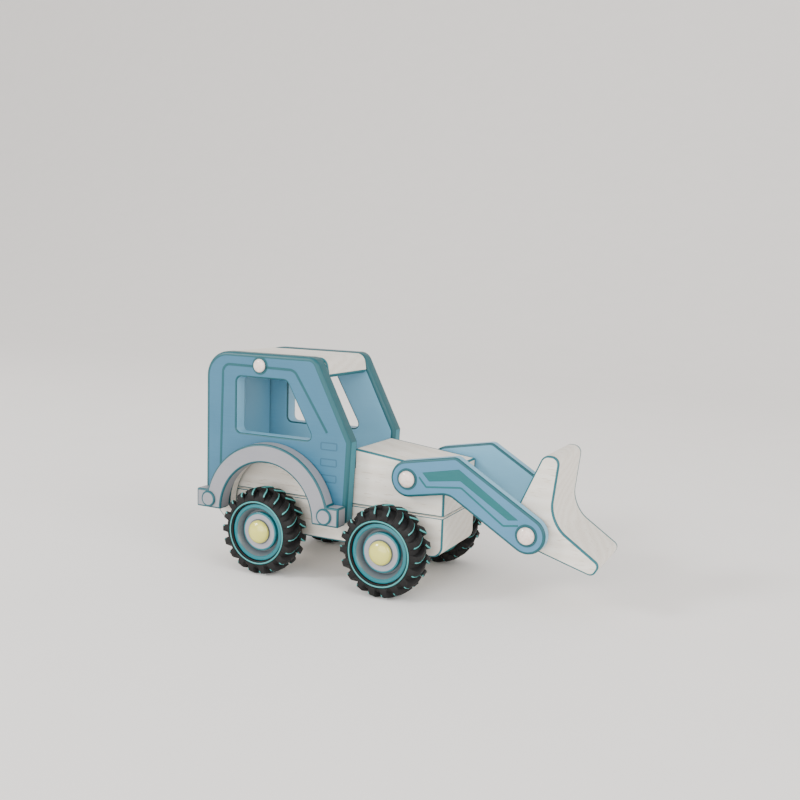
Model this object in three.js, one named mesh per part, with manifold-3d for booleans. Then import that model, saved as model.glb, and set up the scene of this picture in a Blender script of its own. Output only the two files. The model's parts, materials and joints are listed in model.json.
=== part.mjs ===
// A toy digger truck: a push-along front loader of solid beech, with pegged joints and rubber tyres.
//
// Millimetres, +Z up, +X towards the bucket and +Y to the truck's left. Places along X and Z are
// measured from the rear axle, and the last lines move the whole truck so that it stands on z = 0
// with its origin in the middle of its footprint.
//
// How it comes apart: a chassis block carries a body block, whose front is the bonnet. Two cab sides
// are glued and pegged to the chassis, with a roof and a rear wall between them, and an arched
// mudguard is pegged over each. Each wheel is a tyre on a rim, and turns on an axle peg that is glued
// into the chassis. Two lift arms turn on pegs in the body block, and the bucket hangs between them
// on two more pegs.

import * as THREE from "three";
import { mergeVertices } from "three/addons/utils/BufferGeometryUtils.js";
import Module from "manifold-3d";

const wasm = await Module();
wasm.setup();

// ---------------------------------------------------------------- driving dimensions

// Gaps
const GLUE_GAP = 0.15; // between two glued faces, and round a glued peg
const TURNING_GAP = 0.3; // round a peg that turns in its hole

// Chassis and body block
const BODY_WIDTH = 42.2;
const CHASSIS_BOTTOM = -4;
const CHASSIS_TOP = 17;
const CHASSIS_NOSE = 97.4; // front face of the chassis and the bonnet
const NOSE_RADIUS = 6; // round the chassis's lower front edge
const TAIL_RADIUS = 9; // round its lower rear edge
const BONNET_OVER_PIVOT = 5; // from the arms' pivot up to the bonnet's front edge
const BONNET_RISE = 5.8; // from the bonnet's front edge to its rear
const CAB_FLOOR = 37.5;

// Cab
const SIDE_THICKNESS = 8.5;
const CAB_TOP = 93.5;
const CAB_REAR_RADIUS = 14;
const CAB_FRONT_RADIUS = 6;
const SCREEN_TOP = 26.4; // X of the windscreen slope's top, its corner unrounded
const BELT = { reach: 1.9, z: 51.2 }; // the windscreen slope's foot, ahead of the cab's lower front corner
const WINDOW = { rear: -22.9, top: 80.4, frontTop: 9.2, frontBottom: 26.5, radius: 3 };
const WINDOW_OVER_GUARD = 3.1; // from the mudguard's top up to the window
const ROOF = { thickness: 11.2, front: 31, radius: 3, recess: 0.5 };
const REAR_WALL_THICKNESS = 8;

// Mudguard
const ARCH = { x: 2, z: 8 }; // centre of its arch, a little ahead of the axle and above it
const WHEEL_CLEARANCE = 5.7; // added to the tyre's radius, is the arch's inner radius
const GUARD_BAND = 10; // width of the arch, seen from the side
const ARCH_CLEARANCE = 0.5; // the cab side's cut-out behind the mudguard is this much larger
const GUARD_THICKNESS = 8;
const GUARD_FOOT = { length: 5.9, height: 10.2 }; // past the arch, and above its bottom
const GUARD_PAST_CAB = { front: 0.4, rear: -0.3 }; // how far the feet stand past the cab's ends

// Wheels
const GUARD_TO_TYRE = 2.6; // between the mudguard's front foot and the front tyre
const TYRE_RADIUS = 23.1;
const TYRE_WIDTH = 16.5;
const WHEEL_OUTSIDE = 42.9; // the tyre's outer face, from the truck's middle plane
const LUG_COUNT = 18;
const LUG_DEPTH = 2.2;
const LUG_SHARE = 0.52; // of the pitch that is lug
const SHOULDER = { drop: 3, width: 3.4 }; // the tread falls away to the side walls
const RIM_RADIUS = 15.3;
const RIM_LIP = { inner: 13.2, recess: 1.5, dish: 4.6 };
const HUB_DISC = { radius: 10.3, thickness: 2.4 };
const WASHER_RADIUS = 6.8;

// Pegs: a shank, and a head that is a dome or a flat button
const AXLE_PEG = { shank: 3.2, head: 6.2, rise: 3.4, sunk: 12 };
const ARM_PEG = { shank: 3, head: 4.2, rise: 2.4, sunk: 12 };
const ROOF_PEG = { shank: 2.4, head: 3.6, rise: 2, sunk: 9 };
const GUARD_PEG = { shank: 3, head: 4.4, rise: 0.8, sunk: 10 };
const HEAD_GAP = 0.2; // under a peg's head

// Where the pegs sit, along X and Z
const ROOF_PEG_AT = { x: -7.6, z: CAB_TOP - 6.4 };
const GUARD_PEG_INSET = 2.3; // in from the arch's outer edge
const LOCATING_DOWEL = { radius: 4, length: 18, at: [-22, 84] };

// Lift arms and bucket
const ARM_THICKNESS = 6.5;
const ARM_SIDE_GAP = 0.6; // between an arm and the body block
const ARM_HALF_WIDTH = 9.2;
const ARM_PIVOT_X = 80.2;
const ARM_TO_TYRE = 3.9; // between the arm's lower edge and the top of the front tyre
const ELBOW_FROM_PIVOT = { x: 24, z: 4.3 };
const BUCKET_FROM_PIVOT = { x: 62.8, z: -19.5 };
const ELBOW_RADIUS = { over: 4, under: 8 };
const BUCKET_SIDE_GAP = 1.3;
// The bucket's side outline, each corner measured from its pivot, with its radius
const BUCKET_CORNERS = [
  { x: -14.2, z: -3.9, radius: 7 }, // heel
  { x: 3.9, z: 37.7, radius: 4 }, // top of the back
  { x: 12.2, z: 37.7, radius: 4 }, // top of the scoop
  { x: 8.8, z: 6.1, radius: 16 }, // crook of the scoop
  { x: 33.8, z: -11.1, radius: 3 }, // lip, above
  { x: 30.4, z: -17.3, radius: 3 }, // lip, below
];

// Fineness of round shapes
const PEG_SIDES = 16;
const WHEEL_SIDES = 32;
const ARC_STEP = 2.4; // longest chord on a round stretch of an outline
const LEAST_ARC_STEPS = 3;
const DOME_STEPS = 3;

// ---------------------------------------------------------------- places worked out from them

const BODY_SIDE = BODY_WIDTH / 2;
const SIDE_OUTSIDE = BODY_SIDE + GLUE_GAP + SIDE_THICKNESS;
const GUARD_OUTSIDE = SIDE_OUTSIDE + GLUE_GAP + GUARD_THICKNESS;
const ARM_INSIDE = BODY_SIDE + ARM_SIDE_GAP;
const ARM_OUTSIDE = ARM_INSIDE + ARM_THICKNESS;
const BUCKET_WIDTH = 2 * (ARM_INSIDE - BUCKET_SIDE_GAP);
const LUG_PITCH = (2 * Math.PI) / LUG_COUNT;
const LUG_HALF = (LUG_PITCH * LUG_SHARE) / 2;
const LOWEST_EDGE = Math.min(LUG_HALF, LUG_PITCH / 2 - LUG_HALF); // off straight down, of the two lug rows
const AXLE_HEIGHT = TYRE_RADIUS * Math.cos(LOWEST_EDGE);
const TYRE_INSIDE = WHEEL_OUTSIDE - TYRE_WIDTH;
const ARCH_INNER = TYRE_RADIUS + WHEEL_CLEARANCE;
const ARCH_OUTER = ARCH_INNER + GUARD_BAND;
const GUARD_REACH = ARCH_OUTER + GUARD_FOOT.length; // each way from the arch's middle line
const GUARD_PEG_REACH = ARCH_OUTER - GUARD_PEG_INSET;
const GUARD_PEG_Z = ARCH.z + GUARD_FOOT.height / 2;
const CAB_BOTTOM = ARCH.z;
const CAB_FRONT = ARCH.x + GUARD_REACH - GUARD_PAST_CAB.front;
const CAB_REAR = ARCH.x - GUARD_REACH + GUARD_PAST_CAB.rear;
const WINDOW_BOTTOM = ARCH.z + ARCH_OUTER + WINDOW_OVER_GUARD;
const WHEELBASE = ARCH.x + GUARD_REACH + GUARD_TO_TYRE + TYRE_RADIUS;
const ARM_PIVOT = { x: ARM_PIVOT_X, z: TYRE_RADIUS + ARM_TO_TYRE + ARM_HALF_WIDTH };
const ARM_ELBOW = { x: ARM_PIVOT.x + ELBOW_FROM_PIVOT.x, z: ARM_PIVOT.z + ELBOW_FROM_PIVOT.z };
const BUCKET_PIVOT = { x: ARM_PIVOT.x + BUCKET_FROM_PIVOT.x, z: ARM_PIVOT.z + BUCKET_FROM_PIVOT.z };
const BONNET_NOSE_HEIGHT = ARM_PIVOT.z + BONNET_OVER_PIVOT;
const BONNET_REAR_HEIGHT = BONNET_NOSE_HEIGHT + BONNET_RISE;
const RIM_OUTSIDE = WHEEL_OUTSIDE - RIM_LIP.recess;
const DISC_INSIDE = RIM_OUTSIDE - RIM_LIP.dish + GLUE_GAP;
const DISC_OUTSIDE = DISC_INSIDE + HUB_DISC.thickness;

// ---------------------------------------------------------------- outlines and solids

const v2 = (x, z) => new THREE.Vector2(x, z);

// Points along an arc, from one angle to another.
function arc(centre, radius, from, to) {
  const steps = Math.max(LEAST_ARC_STEPS, Math.ceil((Math.abs(to - from) * radius) / ARC_STEP));
  return Array.from({ length: steps + 1 }, (_, i) => {
    const angle = from + ((to - from) * i) / steps;
    return v2(centre.x + radius * Math.cos(angle), centre.y + radius * Math.sin(angle));
  });
}

// A closed outline through corners {x, z, radius}; a corner with no radius stays sharp.
function roundedOutline(corners) {
  return corners.flatMap((corner, i) => {
    const at = v2(corner.x, corner.z);
    if (!corner.radius) return [at];
    const before = corners.at(i - 1);
    const after = corners[(i + 1) % corners.length];
    const back = v2(before.x, before.z).sub(at).normalize();
    const on = v2(after.x, after.z).sub(at).normalize();
    const half = Math.acos(back.dot(on)) / 2;
    const reach = corner.radius / Math.tan(half);
    const inwards = back.clone().add(on).normalize();
    const centre = at.clone().addScaledVector(inwards, corner.radius / Math.sin(half));
    const start = at.clone().addScaledVector(back, reach).sub(centre).angle();
    const end = at.clone().addScaledVector(on, reach).sub(centre).angle();
    const turn = Math.atan2(Math.sin(end - start), Math.cos(end - start));
    return arc(centre, corner.radius, start, start + turn);
  });
}

// A round hole in an outline, its corners lined up with those of a peg.
function roundHole(at, radius, sides = PEG_SIDES) {
  return Array.from({ length: sides }, (_, i) => {
    const angle = (2 * Math.PI * i) / sides;
    return v2(at.x + radius * Math.cos(angle), at.z + radius * Math.sin(angle));
  });
}

// A plate: an outline in X and Z, with its holes, extruded along Y about the middle of its thickness.
function plate(outline, thickness, holes = []) {
  const shape = new THREE.Shape(outline);
  shape.holes = holes.map((points) => new THREE.Path(points));
  const geometry = new THREE.ExtrudeGeometry(shape, { depth: thickness, bevelEnabled: false });
  return geometry.rotateX(Math.PI / 2).translate(0, thickness / 2, 0);
}

// A turned piece: a profile of [radius, y] pairs that starts and ends on the axis, or closes on itself.
function turned(profile, sides) {
  return new THREE.LatheGeometry(profile.map(([radius, y]) => v2(radius, y)), sides);
}

// A ring's profile, closed on itself.
const closed = (profile) => [...profile, profile[0]];

// A plain rod along Y, for cutting a hole or making a dowel.
function rod(radius, from, to, at = { x: 0, z: 0 }) {
  const cylinder = new THREE.CylinderGeometry(radius, radius, to - from, PEG_SIDES);
  return cylinder.translate(at.x, (from + to) / 2, at.z);
}

// A three.js geometry as a solid for cutting and joining.
function solid(geometry) {
  const bare = geometry.clone();
  bare.deleteAttribute("normal");
  bare.deleteAttribute("uv");
  const merged = mergeVertices(bare, 1e-4);
  return new wasm.Manifold(
    new wasm.Mesh({
      numProp: 3,
      vertProperties: new Float32Array(merged.attributes.position.array),
      triVerts: new Uint32Array(merged.index.array),
    }),
  );
}

// A solid as a three.js geometry.
function geometryOf(made) {
  const mesh = made.getMesh();
  const geometry = new THREE.BufferGeometry();
  geometry.setAttribute("position", new THREE.BufferAttribute(new Float32Array(mesh.vertProperties), 3));
  geometry.setIndex(new THREE.BufferAttribute(new Uint32Array(mesh.triVerts), 1));
  geometry.computeVertexNormals();
  return geometry;
}

function cut(geometry, tools) {
  return geometryOf(tools.reduce((left, tool) => left.subtract(solid(tool)), solid(geometry)));
}

// Blind holes for one kind of peg, drilled into both sides of a block at each place.
function sideHoles(peg, halfWidth, places) {
  return places.flatMap((at) =>
    [1, -1].map((side) => {
      const inner = side * (halfWidth - peg.sunk - GLUE_GAP);
      const outer = side * (halfWidth + 1);
      return rod(peg.shank + GLUE_GAP, Math.min(inner, outer), Math.max(inner, outer), at);
    }),
  );
}

// ---------------------------------------------------------------- materials

const finish = (color, roughness) => new THREE.MeshStandardMaterial({ color, roughness, metalness: 0 });
const BEECH = finish(0xdcd3c3, 0.6);
const BLUE_PAINT = finish(0x7397ab, 0.45);
const GREY_PAINT = finish(0xaaaaae, 0.5);
const RUBBER = finish(0x231f20, 0.85);
const RIM_PAINT = finish(0x4a9ca6, 0.4);
const DISC_PAINT = finish(0xb2b2b8, 0.45);
const YELLOW_PAINT = finish(0xd3d29a, 0.35);
const PEG_WOOD = finish(0xe0d5cb, 0.4);

// ---------------------------------------------------------------- the truck

const truck = new THREE.Group();

// Adds one named piece to a group, at a place in it.
function add(group, name, geometry, material, at = {}) {
  const mesh = new THREE.Mesh(geometry, material);
  mesh.name = name;
  mesh.position.set(at.x ?? 0, at.y ?? 0, at.z ?? 0);
  group.add(mesh);
  return mesh;
}

const SIDES = [
  { name: "left", sign: 1 },
  { name: "right", sign: -1 },
];

// Adds the same turned piece on each side, its +Y end outwards.
function addTurnedPair(group, name, geometry, material, at) {
  for (const side of SIDES) {
    const mesh = add(group, `${name}_${side.name}`, geometry, material, { x: at.x, z: at.z });
    if (side.sign < 0) mesh.rotation.z = Math.PI;
  }
}

// A peg along Y: its head's underside is at the height given, and its shank ends inside.
function peg(kind, underHead, end, domed = true) {
  const dome = domed
    ? Array.from({ length: DOME_STEPS }, (_, i) => {
        const angle = (Math.PI / 2) * ((i + 1) / (DOME_STEPS + 1));
        return [kind.head * Math.cos(angle), underHead + 1 + (kind.rise - 1) * Math.sin(angle)];
      })
    : [[kind.head, underHead + kind.rise]];
  const edge = domed ? [[kind.head, underHead + 1]] : [];
  const profile = [[0, end], [kind.shank, end], [kind.shank, underHead], [kind.head, underHead]];
  return turned([...profile, ...edge, ...dome, [0, underHead + kind.rise]], PEG_SIDES);
}

// --- chassis and body block

function locatingHoles() {
  const { radius, length, at } = LOCATING_DOWEL;
  return at.map((x) =>
    rod(radius + GLUE_GAP, -length / 2 - GLUE_GAP, length / 2 + GLUE_GAP)
      .rotateX(Math.PI / 2)
      .translate(x, 0, CHASSIS_TOP),
  );
}

function chassisBlock() {
  const outline = roundedOutline([
    { x: CAB_REAR, z: CHASSIS_BOTTOM, radius: TAIL_RADIUS },
    { x: CHASSIS_NOSE, z: CHASSIS_BOTTOM, radius: NOSE_RADIUS },
    { x: CHASSIS_NOSE, z: CHASSIS_TOP },
    { x: CAB_REAR, z: CHASSIS_TOP },
  ]);
  const axles = [0, WHEELBASE].map((x) => ({ x, z: 0 }));
  const guards = [-1, 1].map((end) => ({ x: ARCH.x + end * GUARD_PEG_REACH, z: GUARD_PEG_Z }));
  return cut(plate(outline, BODY_WIDTH), [
    ...sideHoles(AXLE_PEG, BODY_SIDE, axles),
    ...sideHoles(GUARD_PEG, BODY_SIDE, guards),
    ...locatingHoles(),
  ]);
}

function bodyBlock() {
  const bottom = CHASSIS_TOP + GLUE_GAP;
  const rear = CAB_REAR + REAR_WALL_THICKNESS + GLUE_GAP;
  const outline = roundedOutline([
    { x: rear, z: bottom },
    { x: CHASSIS_NOSE, z: bottom },
    { x: CHASSIS_NOSE, z: BONNET_NOSE_HEIGHT },
    { x: CAB_FRONT, z: BONNET_REAR_HEIGHT },
    { x: CAB_FRONT, z: CAB_FLOOR },
    { x: rear, z: CAB_FLOOR },
  ]);
  const pivotHoles = sideHoles(ARM_PEG, BODY_SIDE, [ARM_PIVOT]);
  return cut(plate(outline, BODY_WIDTH), [...pivotHoles, ...locatingHoles()]);
}

add(truck, "chassis_block", chassisBlock(), BEECH);
add(truck, "body_block", bodyBlock(), BEECH);
LOCATING_DOWEL.at.forEach((x, i) => {
  const dowel = rod(LOCATING_DOWEL.radius, -LOCATING_DOWEL.length / 2, LOCATING_DOWEL.length / 2);
  const mesh = add(truck, `locating_dowel_${i ? "front" : "rear"}`, dowel, BEECH, { x, z: CHASSIS_TOP });
  mesh.rotation.x = Math.PI / 2;
});

// --- cab

// The cab's outline from the windscreen's foot, over the roof, to the foot of the rear edge.
const CAB_CORNERS = [
  { x: CAB_FRONT, z: CAB_BOTTOM },
  { x: CAB_FRONT + BELT.reach, z: BELT.z },
  { x: SCREEN_TOP, z: CAB_TOP, radius: CAB_FRONT_RADIUS },
  { x: CAB_REAR, z: CAB_TOP, radius: CAB_REAR_RADIUS },
  { x: CAB_REAR, z: CAB_BOTTOM },
];

function cabSide() {
  const arch = arc(v2(ARCH.x, ARCH.z), ARCH_INNER + ARCH_CLEARANCE, Math.PI, 0);
  const window = roundedOutline([
    { x: WINDOW.rear, z: WINDOW_BOTTOM, radius: WINDOW.radius },
    { x: WINDOW.frontBottom, z: WINDOW_BOTTOM, radius: WINDOW.radius },
    { x: WINDOW.frontTop, z: WINDOW.top, radius: WINDOW.radius },
    { x: WINDOW.rear, z: WINDOW.top, radius: WINDOW.radius },
  ]);
  const guardHoles = [-1, 1].map((end) =>
    roundHole({ x: ARCH.x + end * GUARD_PEG_REACH, z: GUARD_PEG_Z }, GUARD_PEG.shank + GLUE_GAP),
  );
  const roofHole = roundHole(ROOF_PEG_AT, ROOF_PEG.shank + GLUE_GAP);
  const outline = [...roundedOutline(CAB_CORNERS), ...arch];
  return plate(outline, SIDE_THICKNESS, [window, roofHole, ...guardHoles]);
}

function cabRoof() {
  const top = CAB_TOP - ROOF.recess;
  const bottom = CAB_TOP - ROOF.thickness;
  const outline = roundedOutline([
    { x: CAB_REAR + ROOF.recess, z: bottom },
    { x: ROOF.front, z: bottom, radius: ROOF.radius },
    { x: ROOF.front, z: top, radius: ROOF.radius + 1 },
    { x: CAB_REAR + ROOF.recess, z: top, radius: ROOF.thickness - ROOF.recess - 0.5 },
  ]);
  return cut(plate(outline, BODY_WIDTH), sideHoles(ROOF_PEG, BODY_SIDE, [ROOF_PEG_AT]));
}

function rearWall() {
  const bottom = CHASSIS_TOP + GLUE_GAP;
  const top = CAB_TOP - ROOF.thickness - GLUE_GAP;
  return new THREE.BoxGeometry(REAR_WALL_THICKNESS - ROOF.recess, BODY_WIDTH, top - bottom).translate(
    CAB_REAR + (REAR_WALL_THICKNESS + ROOF.recess) / 2,
    0,
    (top + bottom) / 2,
  );
}

for (const side of SIDES) {
  const middle = side.sign * (SIDE_OUTSIDE - SIDE_THICKNESS / 2);
  add(truck, `cab_side_${side.name}`, cabSide(), BLUE_PAINT, { y: middle });
}
add(truck, "cab_roof", cabRoof(), BEECH);
add(truck, "cab_rear_wall", rearWall(), BLUE_PAINT);
const roofPeg = peg(ROOF_PEG, SIDE_OUTSIDE + HEAD_GAP, BODY_SIDE - ROOF_PEG.sunk);
addTurnedPair(truck, "roof_peg", roofPeg, PEG_WOOD, ROOF_PEG_AT);

// --- mudguards

function mudguard() {
  const footTop = ARCH.z + GUARD_FOOT.height;
  const meet = Math.asin(GUARD_FOOT.height / ARCH_OUTER);
  const outline = [
    v2(ARCH.x - GUARD_REACH, ARCH.z),
    v2(ARCH.x - GUARD_REACH, footTop),
    ...arc(v2(ARCH.x, ARCH.z), ARCH_OUTER, Math.PI - meet, meet),
    v2(ARCH.x + GUARD_REACH, footTop),
    v2(ARCH.x + GUARD_REACH, ARCH.z),
    ...arc(v2(ARCH.x, ARCH.z), ARCH_INNER, 0, Math.PI),
  ];
  const holes = [-1, 1].map((end) =>
    roundHole({ x: ARCH.x + end * GUARD_PEG_REACH, z: GUARD_PEG_Z }, GUARD_PEG.shank + GLUE_GAP),
  );
  return plate(outline, GUARD_THICKNESS, holes);
}

for (const side of SIDES) {
  const middle = side.sign * (GUARD_OUTSIDE - GUARD_THICKNESS / 2);
  add(truck, `mudguard_${side.name}`, mudguard(), GREY_PAINT, { y: middle });
}
const guardPeg = peg(GUARD_PEG, GUARD_OUTSIDE + HEAD_GAP, BODY_SIDE - GUARD_PEG.sunk, false);
for (const [end, place] of [[-1, "rear"], [1, "front"]]) {
  const at = { x: ARCH.x + end * GUARD_PEG_REACH, z: GUARD_PEG_Z };
  addTurnedPair(truck, `mudguard_peg_${place}`, guardPeg, GREY_PAINT, at);
}

// --- wheels, each about its own axle

// One half of the tyre: a ring with lugs, from the middle plane to one side wall.
function treadHalf(turn, from, to) {
  const groove = TYRE_RADIUS - LUG_DEPTH;
  const outline = Array.from({ length: LUG_COUNT }, (_, i) => {
    const middle = i * LUG_PITCH + turn - Math.PI / 2;
    const at = (radius, angle) => v2(radius * Math.cos(middle + angle), radius * Math.sin(middle + angle));
    return [
      at(groove, -LUG_HALF),
      at(TYRE_RADIUS, -LUG_HALF),
      at(TYRE_RADIUS, LUG_HALF),
      at(groove, LUG_HALF),
    ];
  }).flat();
  const bore = roundHole({ x: 0, z: 0 }, RIM_RADIUS + GLUE_GAP, WHEEL_SIDES);
  return plate(outline, to - from, [bore]).translate(0, (from + to) / 2, 0);
}

function tyre() {
  const middle = (TYRE_INSIDE + WHEEL_OUTSIDE) / 2;
  const outerHalf = solid(treadHalf(0, middle, WHEEL_OUTSIDE));
  const innerHalf = solid(treadHalf(LUG_PITCH / 2, TYRE_INSIDE, middle));
  const reach = TYRE_RADIUS + 1;
  const barrel = turned(
    [
      [0, TYRE_INSIDE],
      [reach - SHOULDER.drop, TYRE_INSIDE],
      [reach, TYRE_INSIDE + SHOULDER.width],
      [reach, WHEEL_OUTSIDE - SHOULDER.width],
      [reach - SHOULDER.drop, WHEEL_OUTSIDE],
      [0, WHEEL_OUTSIDE],
    ],
    WHEEL_SIDES,
  );
  return geometryOf(outerHalf.add(innerHalf).intersect(solid(barrel)));
}

// The rim: a dished disc with a raised lip, bored for the axle peg.
function rim() {
  const bore = AXLE_PEG.shank + TURNING_GAP;
  const floor = RIM_OUTSIDE - RIM_LIP.dish;
  return turned(
    closed([
      [bore, TYRE_INSIDE],
      [RIM_RADIUS, TYRE_INSIDE],
      [RIM_RADIUS, RIM_OUTSIDE],
      [RIM_LIP.inner, RIM_OUTSIDE],
      [HUB_DISC.radius + 1, floor],
      [bore, floor],
    ]),
    WHEEL_SIDES,
  );
}

function hubDisc() {
  const bore = AXLE_PEG.shank + TURNING_GAP;
  return turned(
    closed([
      [bore, DISC_INSIDE],
      [HUB_DISC.radius, DISC_INSIDE],
      [HUB_DISC.radius, DISC_OUTSIDE - 0.8],
      [HUB_DISC.radius - 0.8, DISC_OUTSIDE],
      [bore, DISC_OUTSIDE],
    ]),
    WHEEL_SIDES,
  );
}

function spacerWasher() {
  const bore = AXLE_PEG.shank + TURNING_GAP;
  const inside = BODY_SIDE + GLUE_GAP;
  const outside = TYRE_INSIDE - TURNING_GAP;
  return turned(
    closed([
      [bore, inside],
      [WASHER_RADIUS, inside],
      [WASHER_RADIUS, outside],
      [bore, outside],
    ]),
    PEG_SIDES,
  );
}

const axlePeg = peg(AXLE_PEG, DISC_OUTSIDE + TURNING_GAP, BODY_SIDE - AXLE_PEG.sunk);
for (const [x, place] of [[0, "rear"], [WHEELBASE, "front"]]) {
  const axle = new THREE.Group();
  axle.position.x = x;
  truck.add(axle);
  const centre = { x: 0, z: 0 };
  addTurnedPair(axle, `tyre_${place}`, tyre(), RUBBER, centre);
  addTurnedPair(axle, `rim_${place}`, rim(), RIM_PAINT, centre);
  addTurnedPair(axle, `hub_disc_${place}`, hubDisc(), DISC_PAINT, centre);
  addTurnedPair(axle, `spacer_washer_${place}`, spacerWasher(), BEECH, centre);
  addTurnedPair(axle, `axle_peg_${place}`, axlePeg, YELLOW_PAINT, centre);
}

// --- lift arms and bucket

// A strap of even width round a line of three points, with round ends.
function strapOutline(start, elbow, end, halfWidth, radius) {
  const [a, b, c] = [start, elbow, end].map((point) => v2(point.x, point.z));
  const first = b.clone().sub(a).normalize();
  const second = c.clone().sub(b).normalize();
  const up = (along) => v2(-along.y, along.x);
  const mitre = up(first).add(up(second)).normalize();
  const reach = halfWidth / mitre.dot(up(first));
  const elbowCorner = (side, r) => {
    const corner = b.clone().addScaledVector(mitre, side * reach);
    return { x: corner.x, z: corner.y, radius: r };
  };
  const firstAngle = first.angle();
  const secondAngle = second.angle();
  const ends = [
    arc(a, halfWidth, firstAngle + Math.PI / 2, firstAngle + 1.5 * Math.PI),
    arc(c, halfWidth, secondAngle - Math.PI / 2, secondAngle + Math.PI / 2),
  ];
  const corner = (point) => ({ x: point.x, z: point.y });
  const under = roundedOutline([corner(ends[0].at(-1)), elbowCorner(-1, radius.under), corner(ends[1][0])]);
  const over = roundedOutline([corner(ends[1].at(-1)), elbowCorner(1, radius.over), corner(ends[0][0])]);
  return [...ends[0], ...under.slice(1, -1), ...ends[1], ...over.slice(1, -1)];
}

function liftArm() {
  const outline = strapOutline(ARM_PIVOT, ARM_ELBOW, BUCKET_PIVOT, ARM_HALF_WIDTH, ELBOW_RADIUS);
  const holes = [ARM_PIVOT, BUCKET_PIVOT].map((at) => roundHole(at, ARM_PEG.shank + TURNING_GAP));
  return plate(outline, ARM_THICKNESS, holes);
}

function bucket() {
  const outline = roundedOutline(BUCKET_CORNERS);
  const centre = { x: 0, z: 0 };
  return cut(plate(outline, BUCKET_WIDTH), sideHoles(ARM_PEG, BUCKET_WIDTH / 2, [centre]));
}

for (const side of SIDES) {
  const middle = side.sign * (ARM_OUTSIDE - ARM_THICKNESS / 2);
  add(truck, `lift_arm_${side.name}`, liftArm(), BLUE_PAINT, { y: middle });
}
add(truck, "bucket", bucket(), BEECH, BUCKET_PIVOT);
const armPeg = peg(ARM_PEG, ARM_OUTSIDE + HEAD_GAP, BODY_SIDE - ARM_PEG.sunk);
addTurnedPair(truck, "arm_pivot_peg", armPeg, PEG_WOOD, ARM_PIVOT);
const bucketPeg = peg(ARM_PEG, ARM_OUTSIDE + HEAD_GAP, BUCKET_WIDTH / 2 - ARM_PEG.sunk);
addTurnedPair(truck, "bucket_peg", bucketPeg, PEG_WOOD, BUCKET_PIVOT);

// --- the origin is the middle of the footprint, on the floor that the tyres stand on

truck.updateMatrixWorld(true);
const footprint = new THREE.Box3().setFromObject(truck, true);
truck.position.set(-(footprint.min.x + footprint.max.x) / 2, 0, AXLE_HEIGHT);

export default truck;
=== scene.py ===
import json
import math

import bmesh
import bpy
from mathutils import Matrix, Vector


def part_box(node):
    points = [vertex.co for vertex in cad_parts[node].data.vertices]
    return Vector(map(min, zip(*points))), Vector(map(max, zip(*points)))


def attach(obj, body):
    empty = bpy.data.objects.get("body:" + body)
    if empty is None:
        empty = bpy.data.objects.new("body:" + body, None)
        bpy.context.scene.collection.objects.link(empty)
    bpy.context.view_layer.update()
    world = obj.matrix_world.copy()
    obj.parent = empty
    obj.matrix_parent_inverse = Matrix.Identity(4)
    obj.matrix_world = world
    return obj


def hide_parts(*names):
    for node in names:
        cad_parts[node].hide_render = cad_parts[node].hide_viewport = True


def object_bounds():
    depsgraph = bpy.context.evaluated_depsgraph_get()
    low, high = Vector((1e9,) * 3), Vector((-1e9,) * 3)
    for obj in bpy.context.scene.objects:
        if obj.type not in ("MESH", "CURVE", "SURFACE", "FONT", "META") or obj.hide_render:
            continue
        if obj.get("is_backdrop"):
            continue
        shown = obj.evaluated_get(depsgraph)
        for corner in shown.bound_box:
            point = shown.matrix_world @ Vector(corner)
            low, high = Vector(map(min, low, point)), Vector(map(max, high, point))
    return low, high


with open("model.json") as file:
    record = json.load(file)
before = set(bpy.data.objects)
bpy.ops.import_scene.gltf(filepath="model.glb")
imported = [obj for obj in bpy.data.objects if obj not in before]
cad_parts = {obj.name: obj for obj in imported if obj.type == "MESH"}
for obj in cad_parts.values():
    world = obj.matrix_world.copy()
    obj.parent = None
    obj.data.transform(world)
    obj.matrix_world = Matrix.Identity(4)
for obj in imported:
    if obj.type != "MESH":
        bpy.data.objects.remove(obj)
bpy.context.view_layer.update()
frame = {"nodes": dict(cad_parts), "record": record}

# %% [markdown]
# # A wooden toy digger truck
#
# The truck is sawn and turned from beech. Its plates and blocks have rounded edges, some are painted
# and some are bare, and it rolls on four moulded rubber tyres. The frame that was just loaded gives
# every piece's place, so each piece below is modelled at its real size where the frame has it, and
# then stands in for the plain solid there.

# The finished truck must not be larger than that.

MM = 0.001
BODY_OF = {node: body for body, nodes in frame["record"]["behaviour"]["bodies"].items() for node in nodes}

# %% [markdown]
# ## Places
#
# A maker measures a truck like this from its rear axle, and so does this file. `place` turns
# millimetres ahead of the rear axle, left of the middle and above the axle into a point of the
# frame. `span` gives a node's box in those same millimetres, so that sizes are read from the frame
# where it has them.

# %% Measuring from the rear axle
tyre_low, tyre_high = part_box("tyre_rear_right")
REAR_AXLE = Vector(((tyre_low.x + tyre_high.x) / 2, 0, (tyre_low.z + tyre_high.z) / 2))


def place(x, y, z):
    return REAR_AXLE + Vector((x, y, z)) * MM


def span(node):
    low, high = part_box(node)
    return (low - REAR_AXLE) / MM, (high - REAR_AXLE) / MM


def middle(node):
    low, high = span(node)
    return (low + high) / 2


FRONT_AXLE_X = middle("tyre_front_right").x
print("wheelbase, mm:", round(FRONT_AXLE_X, 1), "axle above the floor, mm:", round(REAR_AXLE.z / MM, 1))

# %% [markdown]
# ## Camera
#
# The camera comes first. It stands to the right of the truck and a little ahead, at the height of
# the cab's roof, and looks slightly down. `YAW` turns it from looking straight across the truck,
# `PITCH` dips it, and `ROLL` is the slight lean that the view has.

# %% Camera
CAMERA_AT = (268.3, -426.5, 130.9)
YAW, PITCH, ROLL = math.radians(25.9), math.radians(7.14), math.radians(1.82)
LENS = 40.6

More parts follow.
